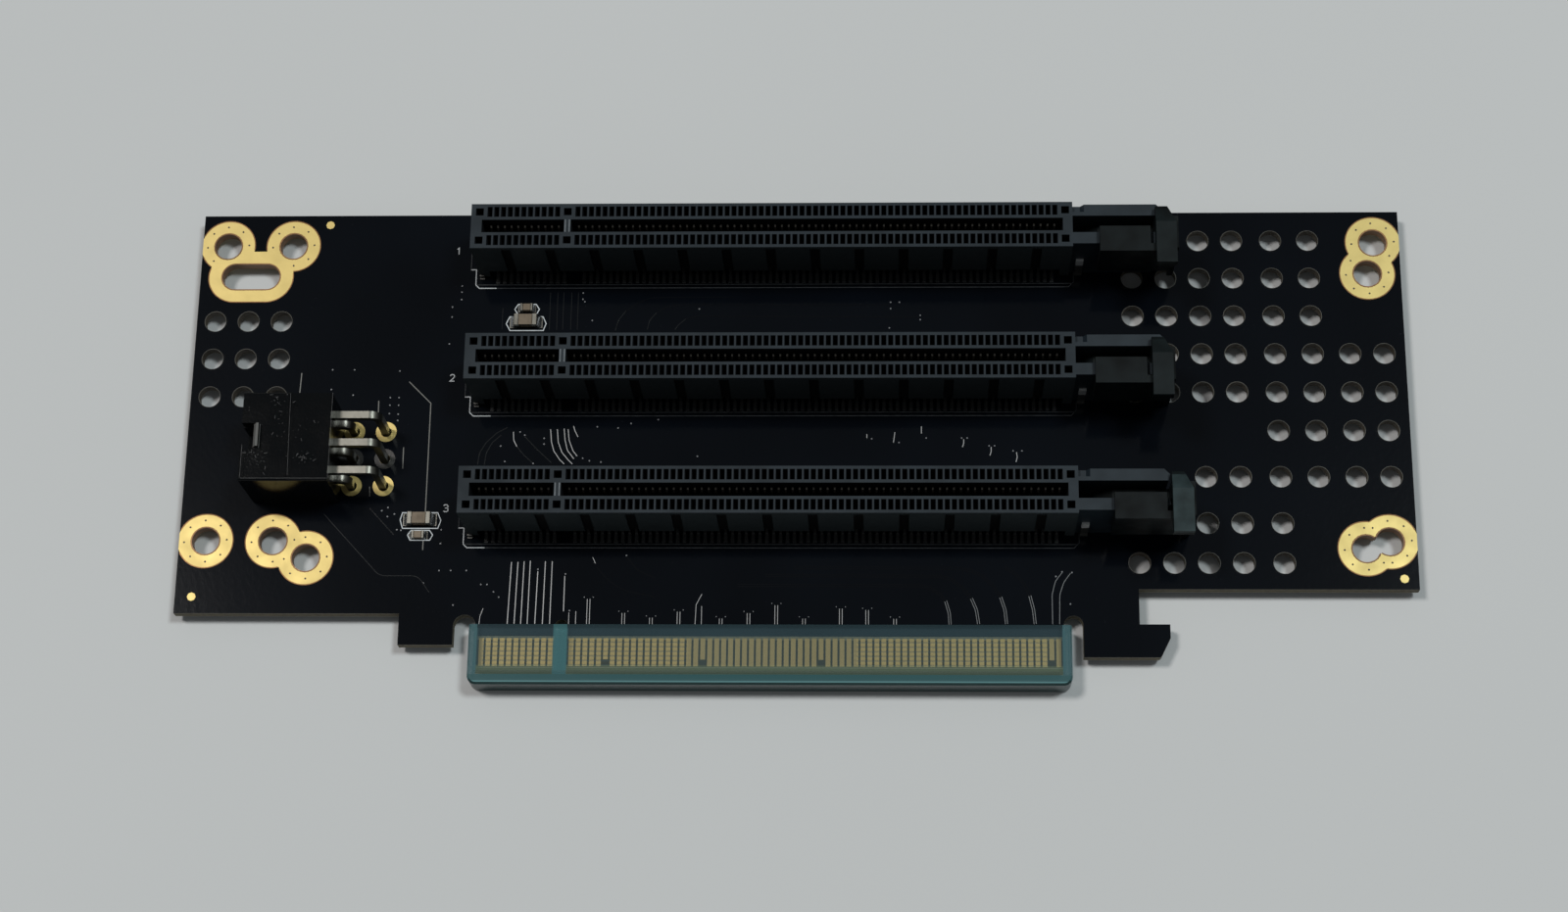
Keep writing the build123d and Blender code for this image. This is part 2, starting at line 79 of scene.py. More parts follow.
# Colours, as red, green and blue from 0 to 1
MASK_BLACK = (0.0012, 0.0019, 0.0032)
LAMINATE = (0.12, 0.1, 0.06)
BOARD_DUST = (0.035, 0.038, 0.044)
EDGE_SKIN = (0.33, 0.31, 0.24)
LAMINATE_BARE = (0.32, 0.32, 0.19)
CONTACT_GAP = (0.085, 0.075, 0.035)
GOLD = (0.52, 0.405, 0.145)
SLOT_BLACK = (0.014, 0.022, 0.029)
# Slot tones: painted shade down in the slot and in its recesses, and painted light on its outer walls
SLOT_DEEP_SHADE = (0.0008, 0.0016, 0.0034)
SLOT_RECESS_SHADE = (0.004, 0.004, 0.004)
SLOT_WALL_LIGHT = (0.03, 0.038, 0.041)
# A painted highlight for the crowns at the contacts' tips
CONTACT_TIP_HIGHLIGHT = (0.13, 0.12, 0.105)
# A painted glint for the tops of the tall hold-downs
TAB_GLINT = (0.8, 0.81, 0.8)
LATCH_GREY = (0.0052, 0.008, 0.0088)
LATCH_CAP = (0.034, 0.052, 0.055)
INLET_BLACK = (0.0028, 0.0034, 0.004)
# A painted highlight for the slope of the inlet's catch
RAMP_HIGHLIGHT = (0.13, 0.13, 0.125)
TIN = (0.2, 0.195, 0.17)
SOLDER = (0.8, 0.81, 0.82)
CERAMIC = (0.16, 0.115, 0.068)
COVER_TEAL = (0.058, 0.11, 0.132)
COVER_DEEP = (0.031, 0.093, 0.099)
# Painted highlight for the sleeve's rim, and painted shade for its near side
COVER_RIM_HIGHLIGHT = (0.085, 0.21, 0.22)
COVER_SIDE_SHADE = (0.01, 0.034, 0.034)
COVER_OLIVE = (0.16, 0.235, 0.165)
COVER_END = (0.055, 0.135, 0.15)
COVER_KEY = (0.062, 0.185, 0.2)
SILK_WHITE = (0.62, 0.66, 0.68)
FLOOR_PALE = (0.575, 0.585, 0.585)


def at(x, y, up=0.0):
    """A point from millimetres: x from the middle, y from the lower left edge, up from the board's face."""
    return Vector((x * MM, zero_y + y * MM, board_top + up * MM))


# Shader nodes
def node(tree, kind, **settings):
    made = tree.nodes.new(kind)
    for key, value in settings.items():
        setattr(made, key, value)
    return made


def maths(tree, operation, *values, clamp=False):
    """One step of arithmetic on numbers or sockets."""
    made = node(tree, "ShaderNodeMath", operation=operation, use_clamp=clamp)
    for place, value in enumerate(values):
        if isinstance(value, (int, float)):
            made.inputs[place].default_value = value
        else:
            tree.links.new(value, made.inputs[place])
    return made.outputs["Value"]


def blend(tree, mask, first, second):
    """Mixes two colours, plain or linked, by a mask."""
    made = node(tree, "ShaderNodeMix", data_type="RGBA")
    tree.links.new(mask, made.inputs["Factor"])
    for name, value in (("A", first), ("B", second)):
        if isinstance(value, tuple):
            made.inputs[name].default_value = (*value, 1)
        else:
            tree.links.new(value, made.inputs[name])
    return made.outputs["Result"]


def noise(tree, scale, detail, roughness=0.5):
    """Noise over a piece's own coordinates, at a linked scale."""
    made = node(tree, "ShaderNodeTexNoise")
    made.inputs["Detail"].default_value = detail
    made.inputs["Roughness"].default_value = roughness
    tree.links.new(scale, made.inputs["Scale"])
    tree.links.new(node(tree, "ShaderNodeTexCoord").outputs["Object"], made.inputs["Vector"])
    return made.outputs["Fac"]


# Node groups that several materials share
def begin_group(name, inputs, outputs, gives="NodeSocketFloat"):
    """A node group with its sockets, and the places where they enter and leave."""
    group = bpy.data.node_groups.new(name, "ShaderNodeTree")
    for title, value in inputs.items():
        kind = "NodeSocketColor" if isinstance(value, tuple) else "NodeSocketFloat"
        made = group.interface.new_socket(name=title, in_out="INPUT", socket_type=kind)
        made.default_value = value
    for title in outputs:
        group.interface.new_socket(name=title, in_out="OUTPUT", socket_type=gives)
    return group, node(group, "NodeGroupInput").outputs, node(group, "NodeGroupOutput").inputs


def group_fine_grain():
    """Moulded or etched grain: a height for a Bump node, and a mask that drifts slowly."""
    inputs = {"Grain Scale": 4000, "Drift Scale": 120}
    group, enter, leave = begin_group("fine_grain", inputs, ("Height", "Drift"))
    group.links.new(noise(group, enter["Grain Scale"], 3.0), leave["Height"])
    group.links.new(noise(group, enter["Drift Scale"], 2.0), leave["Drift"])
    return group


def group_dust():
    """Sparse bright specks, as a mask: fine dust and scuffs on dark plastic."""
    group, enter, leave = begin_group("dust", {"Scale": 900, "Sparseness": 0.72}, ("Mask",))
    over = maths(group, "SUBTRACT", noise(group, enter["Scale"], 4.0, 0.65), enter["Sparseness"])
    group.links.new(maths(group, "MULTIPLY", over, 7.0, clamp=True), leave["Mask"])
    return group


def group_two_tone():
    """Drifts a colour between two tones by a mask."""
    grey = (0.5, 0.5, 0.5, 1)
    inputs = {"Base": grey, "Other": grey, "Mask": 0.5, "Contrast": 2.0}
    group, enter, leave = begin_group("two_tone", inputs, ("Color",), "NodeSocketColor")
    centred = maths(group, "SUBTRACT", enter["Mask"], 0.5)
    steep = maths(group, "MULTIPLY_ADD", centred, enter["Contrast"], 0.5, clamp=True)
    group.links.new(blend(group, steep, enter["Base"], enter["Other"]), leave["Color"])
    return group


FINE_GRAIN = group_fine_grain()
DUST = group_dust()
TWO_TONE = group_two_tone()


def scaled(colour, share):
    """A colour made darker, or lighter where the share is above 1."""
    return tuple(part * share for part in colour)


def begin(name, roughness, metallic=0.0, specular=0.5):
    """A material with its shader, ready for its colour."""
    material = bpy.data.materials.new(name)
    material.use_nodes = True
    tree = material.node_tree
    shader = tree.nodes["Principled BSDF"]
    shader.inputs["Roughness"].default_value = roughness
    shader.inputs["Metallic"].default_value = metallic
    shader.inputs["Specular IOR Level"].default_value = specular
    return material, tree, shader


def use(tree, group, **values):
    made = node(tree, "ShaderNodeGroup", node_tree=group)
    for name, value in values.items():
        made.inputs[name.replace("_", " ")].default_value = value
    return made


def colour_drift(tree, base, other, mask, contrast):
    """A two-tone colour that follows a mask."""
    tone = use(tree, TWO_TONE, Base=(*base, 1), Other=(*other, 1), Contrast=contrast)
    tree.links.new(mask, tone.inputs["Mask"])
    return tone.outputs["Color"]


def vary_roughness(tree, shader, mask, low, high):
    span = node(tree, "ShaderNodeMapRange")
    span.inputs["From Min"].default_value = 0.3
    span.inputs["From Max"].default_value = 0.7
    span.inputs["To Min"].default_value = low
    span.inputs["To Max"].default_value = high
    tree.links.new(mask, span.inputs["Value"])
    tree.links.new(span.outputs["Result"], shader.inputs["Roughness"])


def times(tree, first, *others):
    """The product of masks and numbers."""
    for other in others:
        first = maths(tree, "MULTIPLY", first, other)
    return first


def above(tree, value, limit):
    return maths(tree, "GREATER_THAN", value, limit)


def below(tree, value, limit):
    return maths(tree, "LESS_THAN", value, limit)


def between(tree, value, low, high):
    """A mask that is 1 where a value lies between two limits."""
    return times(tree, above(tree, value, low), below(tree, value, high))


def distance(tree, value, middle):
    """How far a value lies from a middle, to either side."""
    return maths(tree, "ABSOLUTE", maths(tree, "SUBTRACT", value, middle))


def layer(tree, colour, *tones):
    """Lays tones over a colour in turn, each by its own mask."""
    for mask, tone in tones:
        colour = blend(tree, mask, colour, tone)
    return colour


def retint(material, *tones):
    """Lays tones over the colour of a finished material."""
    tree = material.node_tree
    target = tree.nodes["Principled BSDF"].inputs["Base Color"]
    tree.links.new(layer(tree, target.links[0].from_socket, *tones), target)


def split(tree, kind, output):
    """The X, Y and Z of a place or a normal."""
    parts = node(tree, "ShaderNodeSeparateXYZ")
    tree.links.new(node(tree, kind).outputs[output], parts.inputs["Vector"])
    return parts.outputs["X"], parts.outputs["Y"], parts.outputs["Z"]


def spot(tree):
    """The X, Y and Z of a point, in its piece's own coordinates."""
    return split(tree, "ShaderNodeTexCoord", "Object")


def bump(tree, shader, height, depth, strength=1.0):
    made = node(tree, "ShaderNodeBump")
    made.inputs["Distance"].default_value = depth
    made.inputs["Strength"].default_value = strength
    tree.links.new(height, made.inputs["Height"])
    tree.links.new(made.outputs["Normal"], shader.inputs["Normal"])


def simple(name, base, other, roughness, metallic=0.0, grain=4000, drift=120, contrast=2.0, depth=0.00001,
           specular=0.5):
    """A finish of two close tones with a fine grain in its roughness and its bump."""
    material, tree, shader = begin(name, roughness[0], metallic, specular)
    fine = use(tree, FINE_GRAIN, Grain_Scale=grain, Drift_Scale=drift)
    colour = colour_drift(tree, base, other, fine.outputs["Drift"], contrast)
    tree.links.new(colour, shader.inputs["Base Color"])
    vary_roughness(tree, shader, fine.outputs["Drift"], *roughness)
    bump(tree, shader, fine.outputs["Height"], depth)
    return material


def paint_board():
    """Black mask on both faces, laminate between pale skins on the cut edges, bare laminate on the tongue."""
    face_rough, edge_rough = 0.11, 0.62
    tongue_half = 42.7 * MM
    skin_depth = 0.12 * MM
    material, tree, shader = begin("solder_mask", face_rough, specular=0.19)
    fine = use(tree, FINE_GRAIN, Grain_Scale=1500, Drift_Scale=45.0)
    drift, grain = fine.outputs["Drift"], fine.outputs["Height"]
    mask_colour = colour_drift(tree, MASK_BLACK, scaled(MASK_BLACK, 1.8), drift, 2.0)
    edge_colour = colour_drift(tree, LAMINATE, scaled(LAMINATE, 0.6), grain, 3.0)
    bare_colour = colour_drift(tree, LAMINATE_BARE, scaled(LAMINATE_BARE, 0.7), grain, 3.0)
    x, y, z = spot(tree)
    upright = split(tree, "ShaderNodeNewGeometry", "True Normal")[2]
    is_face = above(tree, maths(tree, "ABSOLUTE", upright), 0.9)
    on_tongue = times(tree, below(tree, y, at(0, mask_edge).y),
                      below(tree, distance(tree, x, contact_middle * MM), tongue_half))
    specks = use(tree, DUST, Scale=1500, Sparseness=0.7)
    dusty = blend(tree, times(tree, specks.outputs["Mask"], 0.6), mask_colour, BOARD_DUST)
    beside_contacts = between(tree, y, at(0, fingers_foot).y, at(0, fingers_top).y)
    face = blend(tree, on_tongue, dusty, blend(tree, beside_contacts, bare_colour, CONTACT_GAP))
    inner = between(tree, z, board_back + skin_depth, board_top - skin_depth)
    edge = blend(tree, inner, EDGE_SKIN, edge_colour)
    tree.links.new(blend(tree, is_face, edge, face), shader.inputs["Base Color"])
    rough = maths(tree, "SUBTRACT", edge_rough, times(tree, is_face, edge_rough - face_rough))
    tree.links.new(rough, shader.inputs["Roughness"])
    bump(tree, shader, grain, 0.000006)
    return material


def ribbed_zones(tree, x, y, z):
    """Masks of the sleeve's two ribbed zones, and of the lit lines on their outer face."""
    rib_pitch = 0.68 * MM
    spans = maths(tree, "ADD", between(tree, x, -44.4 * MM, -15.0 * MM),
                  between(tree, x, 9.3 * MM, 36.6 * MM))
    zones = times(tree, spans, between(tree, y, at(0, -8.2).y, at(0, -3.55).y))
    ripple = maths(tree, "SINE", times(tree, y, 2 * math.pi / rib_pitch))
    outer_face = above(tree, z, board_top + 0.8 * MM)
    return zones, times(tree, zones, outer_face, above(tree, ripple, 0.62))


def paint_cover():
    """Clear blue-green plastic, tinted by what lies under it and clouded at its lip and ends, with painted
    shade on its near side and a painted highlight along its rim.
    """
    material, tree, shader = begin("clear_sleeve", 0.22, specular=0.3)
    x, y, z = spot(tree)
    facing_y = split(tree, "ShaderNodeNewGeometry", "Normal")[1]
    fine = use(tree, FINE_GRAIN, Grain_Scale=900, Drift_Scale=60.0)
    zones, lines = ribbed_zones(tree, x, y, z)
    near_side = below(tree, facing_y, -0.35)
    lip = between(tree, y, -1.0, at(0, lip_top).y)
    rim = below(tree, y, at(0, lip_rim).y)
    under_contacts = between(tree, y, at(0, lip_top).y, at(0, fingers_foot).y)
    upper_band = above(tree, y, at(0, -3.5).y)
    ends = above(tree, distance(tree, x, contact_middle * MM), 42.0 * MM)
    key_band = between(tree, x, (key_x - 1.0) * MM, (key_x + 1.0) * MM)
    haze = colour_drift(tree, COVER_TEAL, scaled(COVER_TEAL, 0.85), fine.outputs["Drift"], 2.0)
    # The rim tone is a painted highlight, and the near side's tone is painted shade
    colour = layer(tree, haze, (under_contacts, COVER_OLIVE), (ends, COVER_END), (key_band, COVER_KEY),
                   (lip, COVER_DEEP), (rim, COVER_RIM_HIGHLIGHT), (near_side, COVER_SIDE_SHADE))
    tree.links.new(colour, shader.inputs["Base Color"])
    cloudy = 0.27
    for mask, more in ((lines, 0.24), (under_contacts, 0.04), (zones, -0.06)):
        cloudy = maths(tree, "ADD", cloudy, times(tree, mask, more))
    # The near side is made nearly opaque, so that its painted shade shows
    for mask, least in ((ends, 0.72), (key_band, 0.55), (upper_band, 0.3), (lip, 0.93), (near_side, 0.96)):
        cloudy = maths(tree, "MAXIMUM", cloudy, times(tree, mask, least))
    tree.links.new(cloudy, shader.inputs["Alpha"])
    bump(tree, shader, fine.outputs["Height"], 0.00002, 0.3)
    return material


def paint_contacts():
    """Slot contacts: dark down in the slot as painted shade, with a painted highlight at their tips."""
    material = simple("contact_metal", (0.01, 0.008, 0.006), (0.006, 0.005, 0.004), (0.4, 0.5), 0.3,
                      grain=2500)
    tree = material.node_tree
    z = spot(tree)[2]
    # Painted highlight on the crowns at the contacts' tips; the rest stays dark as painted shade
    retint(material, (between(tree, z, board_top + 9.18 * MM, board_top + 9.5 * MM), CONTACT_TIP_HIGHLIGHT))
    return material


def paint_tabs():
    """Hold-downs: metal kept dark as painted shade, with a painted glint near the tops of the tall ones."""
    material = simple("tin_shade_and_glint", (0.085, 0.085, 0.08), (0.05, 0.05, 0.047), (0.35, 0.5), 0.6, grain=2200,
                      drift=500)
    tree = material.node_tree
    z = spot(tree)[2]
    # Painted glint near the tops of the tall hold-downs
    retint(material, (above(tree, z, board_top + 3.35 * MM), TAB_GLINT))
    return material


def paint_ramp_highlight(material):
    """Paints a highlight on the slope of the inlet's catch."""
    tree = material.node_tree
    x, y, z = spot(tree)
    facing_up = above(tree, split(tree, "ShaderNodeNewGeometry", "True Normal")[2], 0.3)
    slope = times(tree, between(tree, x, -77.75 * MM, -76.72 * MM), above(tree, z, inlet_roof - 1.2 * MM),
                  between(tree, y, at(0, 21.8).y, at(0, 25.4).y), facing_up)
    # Painted highlight on the catch's slope
    retint(material, (slope, RAMP_HIGHLIGHT))


def pale_caps(material):
    """Pales the tops of the latch caps above a set height in soft patches, the nearest latch's most."""
    cap_paling, nearest_paling = 0.15, 1.05
    tree = material.node_tree
    y, z = spot(tree)[1:]
    patches = use(tree, FINE_GRAIN, Grain_Scale=600, Drift_Scale=420)
    high = above(tree, z, board_top + 12.45 * MM)
    nearest = below(tree, y, at(0, (slot_rows[1] + slot_rows[2]) / 2).y)
    pale_share = maths(tree, "ADD", cap_paling, times(tree, nearest, nearest_paling))
    retint(material, (times(tree, high, pale_share, patches.outputs["Drift"]), LATCH_CAP))


def shade_slots(material):
    """Painted shade deepens the windows, the channel and the recesses, and painted light pales the outer
    walls.
    """
    channel_half, recess_half, wall_half = 3.05 * MM, 3.35 * MM, 3.4 * MM
    pitch, step = slot_pitch * MM, contact_pitch * MM
    tree = material.node_tree
    rough = tree.nodes["Principled BSDF"].inputs["Roughness"]
    x, y, z = spot(tree)
    row = maths(tree, "MODULO", maths(tree, "SUBTRACT", y, at(0, slot_rows[-1]).y - pitch / 2), pitch)
    off_middle = distance(tree, row, pitch / 2)
    down = maths(tree, "SUBTRACT", board_top + slot_height * MM, z)
    sunk = times(tree, above(tree, down, 0.12 * MM), below(tree, x, 40.8 * MM))
    inside = times(tree, sunk, below(tree, off_middle, channel_half))
    recess = times(tree, sunk, between(tree, off_middle, channel_half, recess_half))
    wall = times(tree, sunk, above(tree, off_middle, wall_half))
    place = maths(tree, "MODULO", maths(tree, "SUBTRACT", x, (key_x - 100 * contact_pitch) * MM), step)
    spans = maths(tree, "ADD", between(tree, x, (contact_xs[0] - 0.4) * MM, (key_x - 1.0) * MM),
                  between(tree, x, (key_x + 1.0) * MM, (contact_xs[-1] + 0.4) * MM))
    windows = times(tree, between(tree, off_middle, 1.45 * MM, channel_half), spans,
                    below(tree, distance(tree, place, step / 2), 0.38 * MM))
    # Painted shade in the windows, the channel and the recesses, and painted light on the outer walls
    retint(material, (windows, SLOT_DEEP_SHADE), (inside, SLOT_DEEP_SHADE), (recess, SLOT_RECESS_SHADE), (wall, SLOT_WALL_LIGHT))
    more = times(tree, maths(tree, "ADD", inside, windows), 0.5)
    tree.links.new(maths(tree, "ADD", rough.links[0].from_socket, more), rough)


def paint_plastic(name, colour, grain, rough, dust_amount, dust_scale, specular, shade=0.72):
    """Moulded plastic with a fine grain, drifting sheen and a little dust."""
    material = simple(name, colour, scaled(colour, shade), rough, grain=grain, drift=260, contrast=3.0,
                      depth=0.000012, specular=specular)
    tree = material.node_tree
    specks = use(tree, DUST, Scale=dust_scale)
    dusty = tuple(min(1, part * 3 + 0.05) for part in colour)
    retint(material, (times(tree, specks.outputs["Mask"], dust_amount), dusty))
    return material


board_mask = paint_board()
cover_plastic = paint_cover()
contact_metal = paint_contacts()
tin_shade_and_glint = paint_tabs()
slot_plastic = paint_plastic("slot_plastic", SLOT_BLACK, 9000, (0.42, 0.56), 0.6, 1400, 0.18)
shade_slots(slot_plastic)
latch_plastic = paint_plastic("latch_plastic", LATCH_GREY, 7000, (0.4, 0.55), 0.4, 1300, 0.09, 0.35)
pale_caps(latch_plastic)
inlet_plastic = paint_plastic("inlet_plastic", INLET_BLACK, 3000, (0.09, 0.14), 0.5, 1700, 0.14)
paint_ramp_highlight(inlet_plastic)
gold = simple("gold_plating", GOLD, scaled(GOLD, 0.9), (0.36, 0.46), 0.6, grain=2500, drift=300,
              depth=0.000004)
tin = simple("tinned_metal", TIN, scaled(TIN, 0.8), (0.28, 0.42), 1.0, grain=2200, drift=500,
             depth=0.000006)
solder = simple("solder", SOLDER, scaled(SOLDER, 0.75), (0.18, 0.32), 1.0, grain=1200, drift=400)
ceramic = simple("ceramic", CERAMIC, scaled(CERAMIC, 0.7), (0.45, 0.6), grain=5000, drift=900)
silk_ink = simple("silk_ink", SILK_WHITE, scaled(SILK_WHITE, 0.75), (0.55, 0.7), grain=8000, drift=1500)
shaded_ink = simple("shaded_ink", (0.05, 0.054, 0.058), (0.022, 0.025, 0.028), (0.55, 0.7), grain=8000,
                    drift=1500, specular=0.15)

# Finishes of the thin trim
pad_rim = simple("copper_rim", (0.2, 0.1, 0.035), (0.13, 0.06, 0.02), (0.35, 0.5), 0.6, grain=3000)
dark_copper = simple("dark_middle_ring", (0.008, 0.0075, 0.007), (0.013, 0.012, 0.01), (0.25, 0.35), grain=3000)
plated_wall = simple("plated_wall", (0.25, 0.115, 0.032), (0.13, 0.06, 0.018), (0.35, 0.5), 0.3, grain=3000)
# The vent walls: a laminate brown, darkened as painted shade
hole_wall = simple("drilled_wall", (0.075, 0.058, 0.036), (0.045, 0.035, 0.022), (0.55, 0.7), grain=5000)
# Dark discs for the pads' via holes: painted shade in place of the holes
hole_dark = simple("via_hole", (0.014, 0.008, 0.003), (0.008, 0.005, 0.002), (0.5, 0.6), grain=3000)
# The vent edges: bare laminate, pale as a painted edge highlight
vent_rim = simple("vent_rim", (0.13, 0.12, 0.095), (0.08, 0.075, 0.06), (0.4, 0.5), grain=3000)
via_ring = simple("via_ring", (0.24, 0.25, 0.26), (0.15, 0.15, 0.16), (0.3, 0.4), 0.3)
bright_trace = simple("lit_trace", (0.44, 0.44, 0.44), (0.3, 0.3, 0.3), (0.3, 0.4), 0.2, grain=3000)
soft_trace = simple("soft_trace", (0.17, 0.175, 0.18), (0.1, 0.105, 0.11), (0.3, 0.4), 0.2, grain=3000)
faint_trace = simple("faint_trace", (0.015, 0.0165, 0.0175), (0.006, 0.007, 0.008), (0.14, 0.2), drift=500,
                     specular=0.3)
hidden_trace = simple("hidden_trace", (0.0042, 0.0048, 0.0062), (0.0026, 0.0032, 0.0044), (0.11, 0.13),
                      specular=0.19)
supply_line = simple("supply_line", (0.15, 0.15, 0.135), (0.1, 0.1, 0.09), (0.3, 0.4))
# Tails and their pads are drawn dark: painted shade, as the slots shade them
tail_metal = simple("tail_metal", (0.035, 0.035, 0.035), (0.02, 0.02, 0.02), (0.4, 0.5), 0.5)
tail_solder = simple("tail_solder", (0.03, 0.031, 0.032), (0.018, 0.019, 0.02), (0.4, 0.5), 0.4)
# Painted highlights along the key rib's ridges
key_ridge_highlight = simple("key_ridge_highlight", (0.105, 0.125, 0.14), (0.06, 0.075, 0.085), (0.4, 0.5), drift=900)
# Scratches on the inlet roof, and painted highlights along its step and edges
scratch_and_highlight = simple("scratch_and_highlight", (0.05, 0.053, 0.056), (0.022, 0.024, 0.026), (0.3, 0.5), grain=3000, drift=900)

finish_of = {
    "circuit_board": board_mask, "fixing_pads": gold, "alignment_dots": gold,
    "edge_contacts_front": gold, "edge_contacts_back": gold, "power_inlet_housing": inlet_plastic,
    "power_pins_lower": tin, "power_pins_upper": tin, "power_pin_solder": solder,
    "capacitor_bodies": ceramic, "capacitor_ends": tin, "edge_cover": cover_plastic,
}
for number in slot_numbers:
    finish_of[f"slot_housing_{number}"] = slot_plastic
    finish_of[f"slot_latch_{number}"] = latch_plastic
    finish_of[f"slot_hold_downs_{number}"] = tin_shade_and_glint
for name, finish in finish_of.items():
    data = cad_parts[name].data
    data.materials.clear()
    data.materials.append(finish)


# Mesh makers
def add_object(name, data):
    made = bpy.data.objects.new(name, data)
    scene.collection.objects.link(made)
    return made


def piece(name, mesh, finish, body="board"):
    """Links a bmesh as a piece that rides on a body."""
    data = bpy.data.meshes.new(name)
    mesh.to_mesh(data)
    mesh.free()
    data.materials.append(finish)
    made = add_object(name, data)
    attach(made, body)


def add_ribbon(mesh, points, width, thickness, closed=False):
    """A flat strip with mitred corners along points on the board, standing up by its thickness."""
    sharpest = 0.4
    count = len(points)
    rails = []
    for i, point in enumerate(points):
        before = points[i - 1] if i > 0 or closed else None
        after = points[(i + 1) % count] if i < count - 1 or closed else None
        into = (point - before).normalized() if before is not None else (after - point).normalized()
        out = (after - point).normalized() if after is not None else into
        side_in, side_out = Vector((-into.y, into.x, 0)), Vector((-out.y, out.x, 0))
        mitre = (side_in + side_out).normalized()
        reach = width / 2 / max(mitre.dot(side_in), sharpest)
        rails.append([mesh.verts.new(point + mitre * reach * way + Vector((0, 0, lift)))
                      for way, lift in ((1, 0), (1, thickness), (-1, thickness), (-1, 0))])
    ends = count if closed else count - 1
    for i in range(ends):
        first, second = rails[i], rails[(i + 1) % count]
        for k in range(4):
            mesh.faces.new((first[k], first[(k + 1) % 4], second[(k + 1) % 4], second[k]))
    if not closed:
        mesh.faces.new(rails[0])
        mesh.faces.new(rails[-1][::-1])


def add_ring(mesh, centre, outer, inner, thickness, sides=32):
    """A flat ring, or a disc where inner is zero."""
    turns = [2 * math.pi * i / sides for i in range(sides)]
    loops = []
    for radius, lift in ((outer, 0), (outer, thickness), (inner, thickness), (inner, 0)):
        ring = [centre + Vector((radius * math.cos(turn), radius * math.sin(turn), lift)) for turn in turns]
        loops.append([mesh.verts.new(place) for place in ring] if radius else None)
    if inner:
        pairs = ((0, 1), (1, 2), (2, 3), (3, 0))
    else:
        pairs = ((0, 1),)
        mesh.faces.new(loops[1])
        mesh.faces.new(loops[0][::-1])
    for low, high in pairs:
        for i in range(sides):
            j = (i + 1) % sides
            mesh.faces.new((loops[low][i], loops[low][j], loops[high][j], loops[high][i]))


def add_strip(mesh, path, across, width, thickness):
    """A bent metal strip: a section that is width along across, and thickness along its own normal."""
    rails = []
    for i, point in enumerate(path):
        ahead = (path[min(i + 1, len(path) - 1)] - path[max(i - 1, 0)]).normalized()
        normal = across.cross(ahead).normalized()
        rails.append([mesh.verts.new(point + across * width / 2 * a + normal * thickness / 2 * b)
                      for a, b in ((-1, -1), (1, -1), (1, 1), (-1, 1))])
    for first, second in zip(rails, rails[1:]):
        for k in range(4):
            mesh.faces.new((first[k], first[(k + 1) % 4], second[(k + 1) % 4], second[k]))
    mesh.faces.new(rails[0][::-1])
    mesh.faces.new(rails[-1])


def rounded(points, radius, steps=6):
    """Rounds the inner corners of a route with arcs that use less than half of each leg."""
    nearly_straight, most = 0.02, 0.48
    made = [points[0]]
    for before, corner, after in zip(points, points[1:], points[2:]):
        into, out = (corner - before), (after - corner)
        turn = into.angle(out)
        if turn < nearly_straight:
            continue
        cut = min(radius * math.tan(turn / 2), into.length * most, out.length * most)
        start, stop = corner - into.normalized() * cut, corner + out.normalized() * cut
        for i in range(steps + 1):
            t = i / steps
            made.append((1 - t) ** 2 * start + 2 * t * (1 - t) * corner + t ** 2 * stop)
    made.append(points[-1])
    return made


# Level of each board face, and the way out of it
FACES = {"front": (board_top, 1), "back": (board_back, -1)}


def on_face(x, y, face, lift, thickness):
    """A point on a board face, lifted off it, for a strip that is drawn upwards by its thickness."""
    level, way = FACES[face]
    place = at(x, y)
    place.z = level + lift * MM if way > 0 else level - (lift + thickness) * MM
    return place


def draw_lines(name, routes, width, finish, face="front", lift=0.0, thickness=0.02, turn=0.0):
    """Thin flat lines along routes of board points, with their corners rounded by a radius."""
    mesh = bmesh.new()
    for route in routes:
        points = [on_face(x, y, face, lift, thickness) for x, y in route]
        if turn and len(points) > 2:
            points = rounded(points, turn * MM)
        add_ribbon(mesh, points, width * MM, thickness * MM)
    piece(name, mesh, finish)


def draw_traces(name, routes, width, finish, turn=0.0, lift=0.0):
    """Lines under the mask of the front face."""
    draw_lines(name, routes, width, finish, lift=lift, turn=turn)


def draw_dots(name, places, outer, inner, finish, face="front", lift=0.0, thickness=0.02, sides=16):
    """Flat discs, or rings where inner isn't zero."""
    mesh = bmesh.new()
    for x, y in places:
        add_ring(mesh, on_face(x, y, face, lift, thickness), outer * MM, inner * MM, thickness * MM, sides)
    piece(name, mesh, finish)


def hole_outline(centre, half, radius, sides=64):
    """Points round a hole: a circle, or two half circles that stand a half length to each side."""
    made = []
    for i in range(sides):
        turn = 2 * math.pi * (i + 0.5) / sides
        side = half if math.cos(turn) > 0 else -half
        made.append((centre[0] + side + radius * math.cos(turn), centre[1] + radius * math.sin(turn)))
    return made


def open_runs(outline, blockers, reach):
    """The parts of a closed outline that lie on the board and away from the blocking points."""
    side_limit, top_limit, slack = 89.9, 62.4, 1e-6
    free = [all(math.hypot(x - bx, y - by) >= reach - slack for bx, by in blockers)
            and abs(x) < side_limit and y < top_limit for x, y in outline]
    if all(free):
        return [(outline, True)]
    start = free.index(False)
    runs, run = [], []
    for i in range(1, len(outline) + 1):
        k = (start + i) % len(outline)
        if free[k]:
            run.append(outline[k])
        elif run:
            runs.append((run, False))
            run = []
    return [kept for kept in runs if len(kept[0]) > 2]


# Fixing holes, the same as in the construction
fixing_holes = [(-86.1, 57.5), (-76.15, 57.5), (-86.1, 10.95), (-76.15, 10.95), (-71.2, 8.4),
                (86.1, 57.5), (85.05, 52.55), (86.1, 10.95), (82.7, 9.9)]
long_hole, long_hole_half = (-82.32, 52.55), 2.35


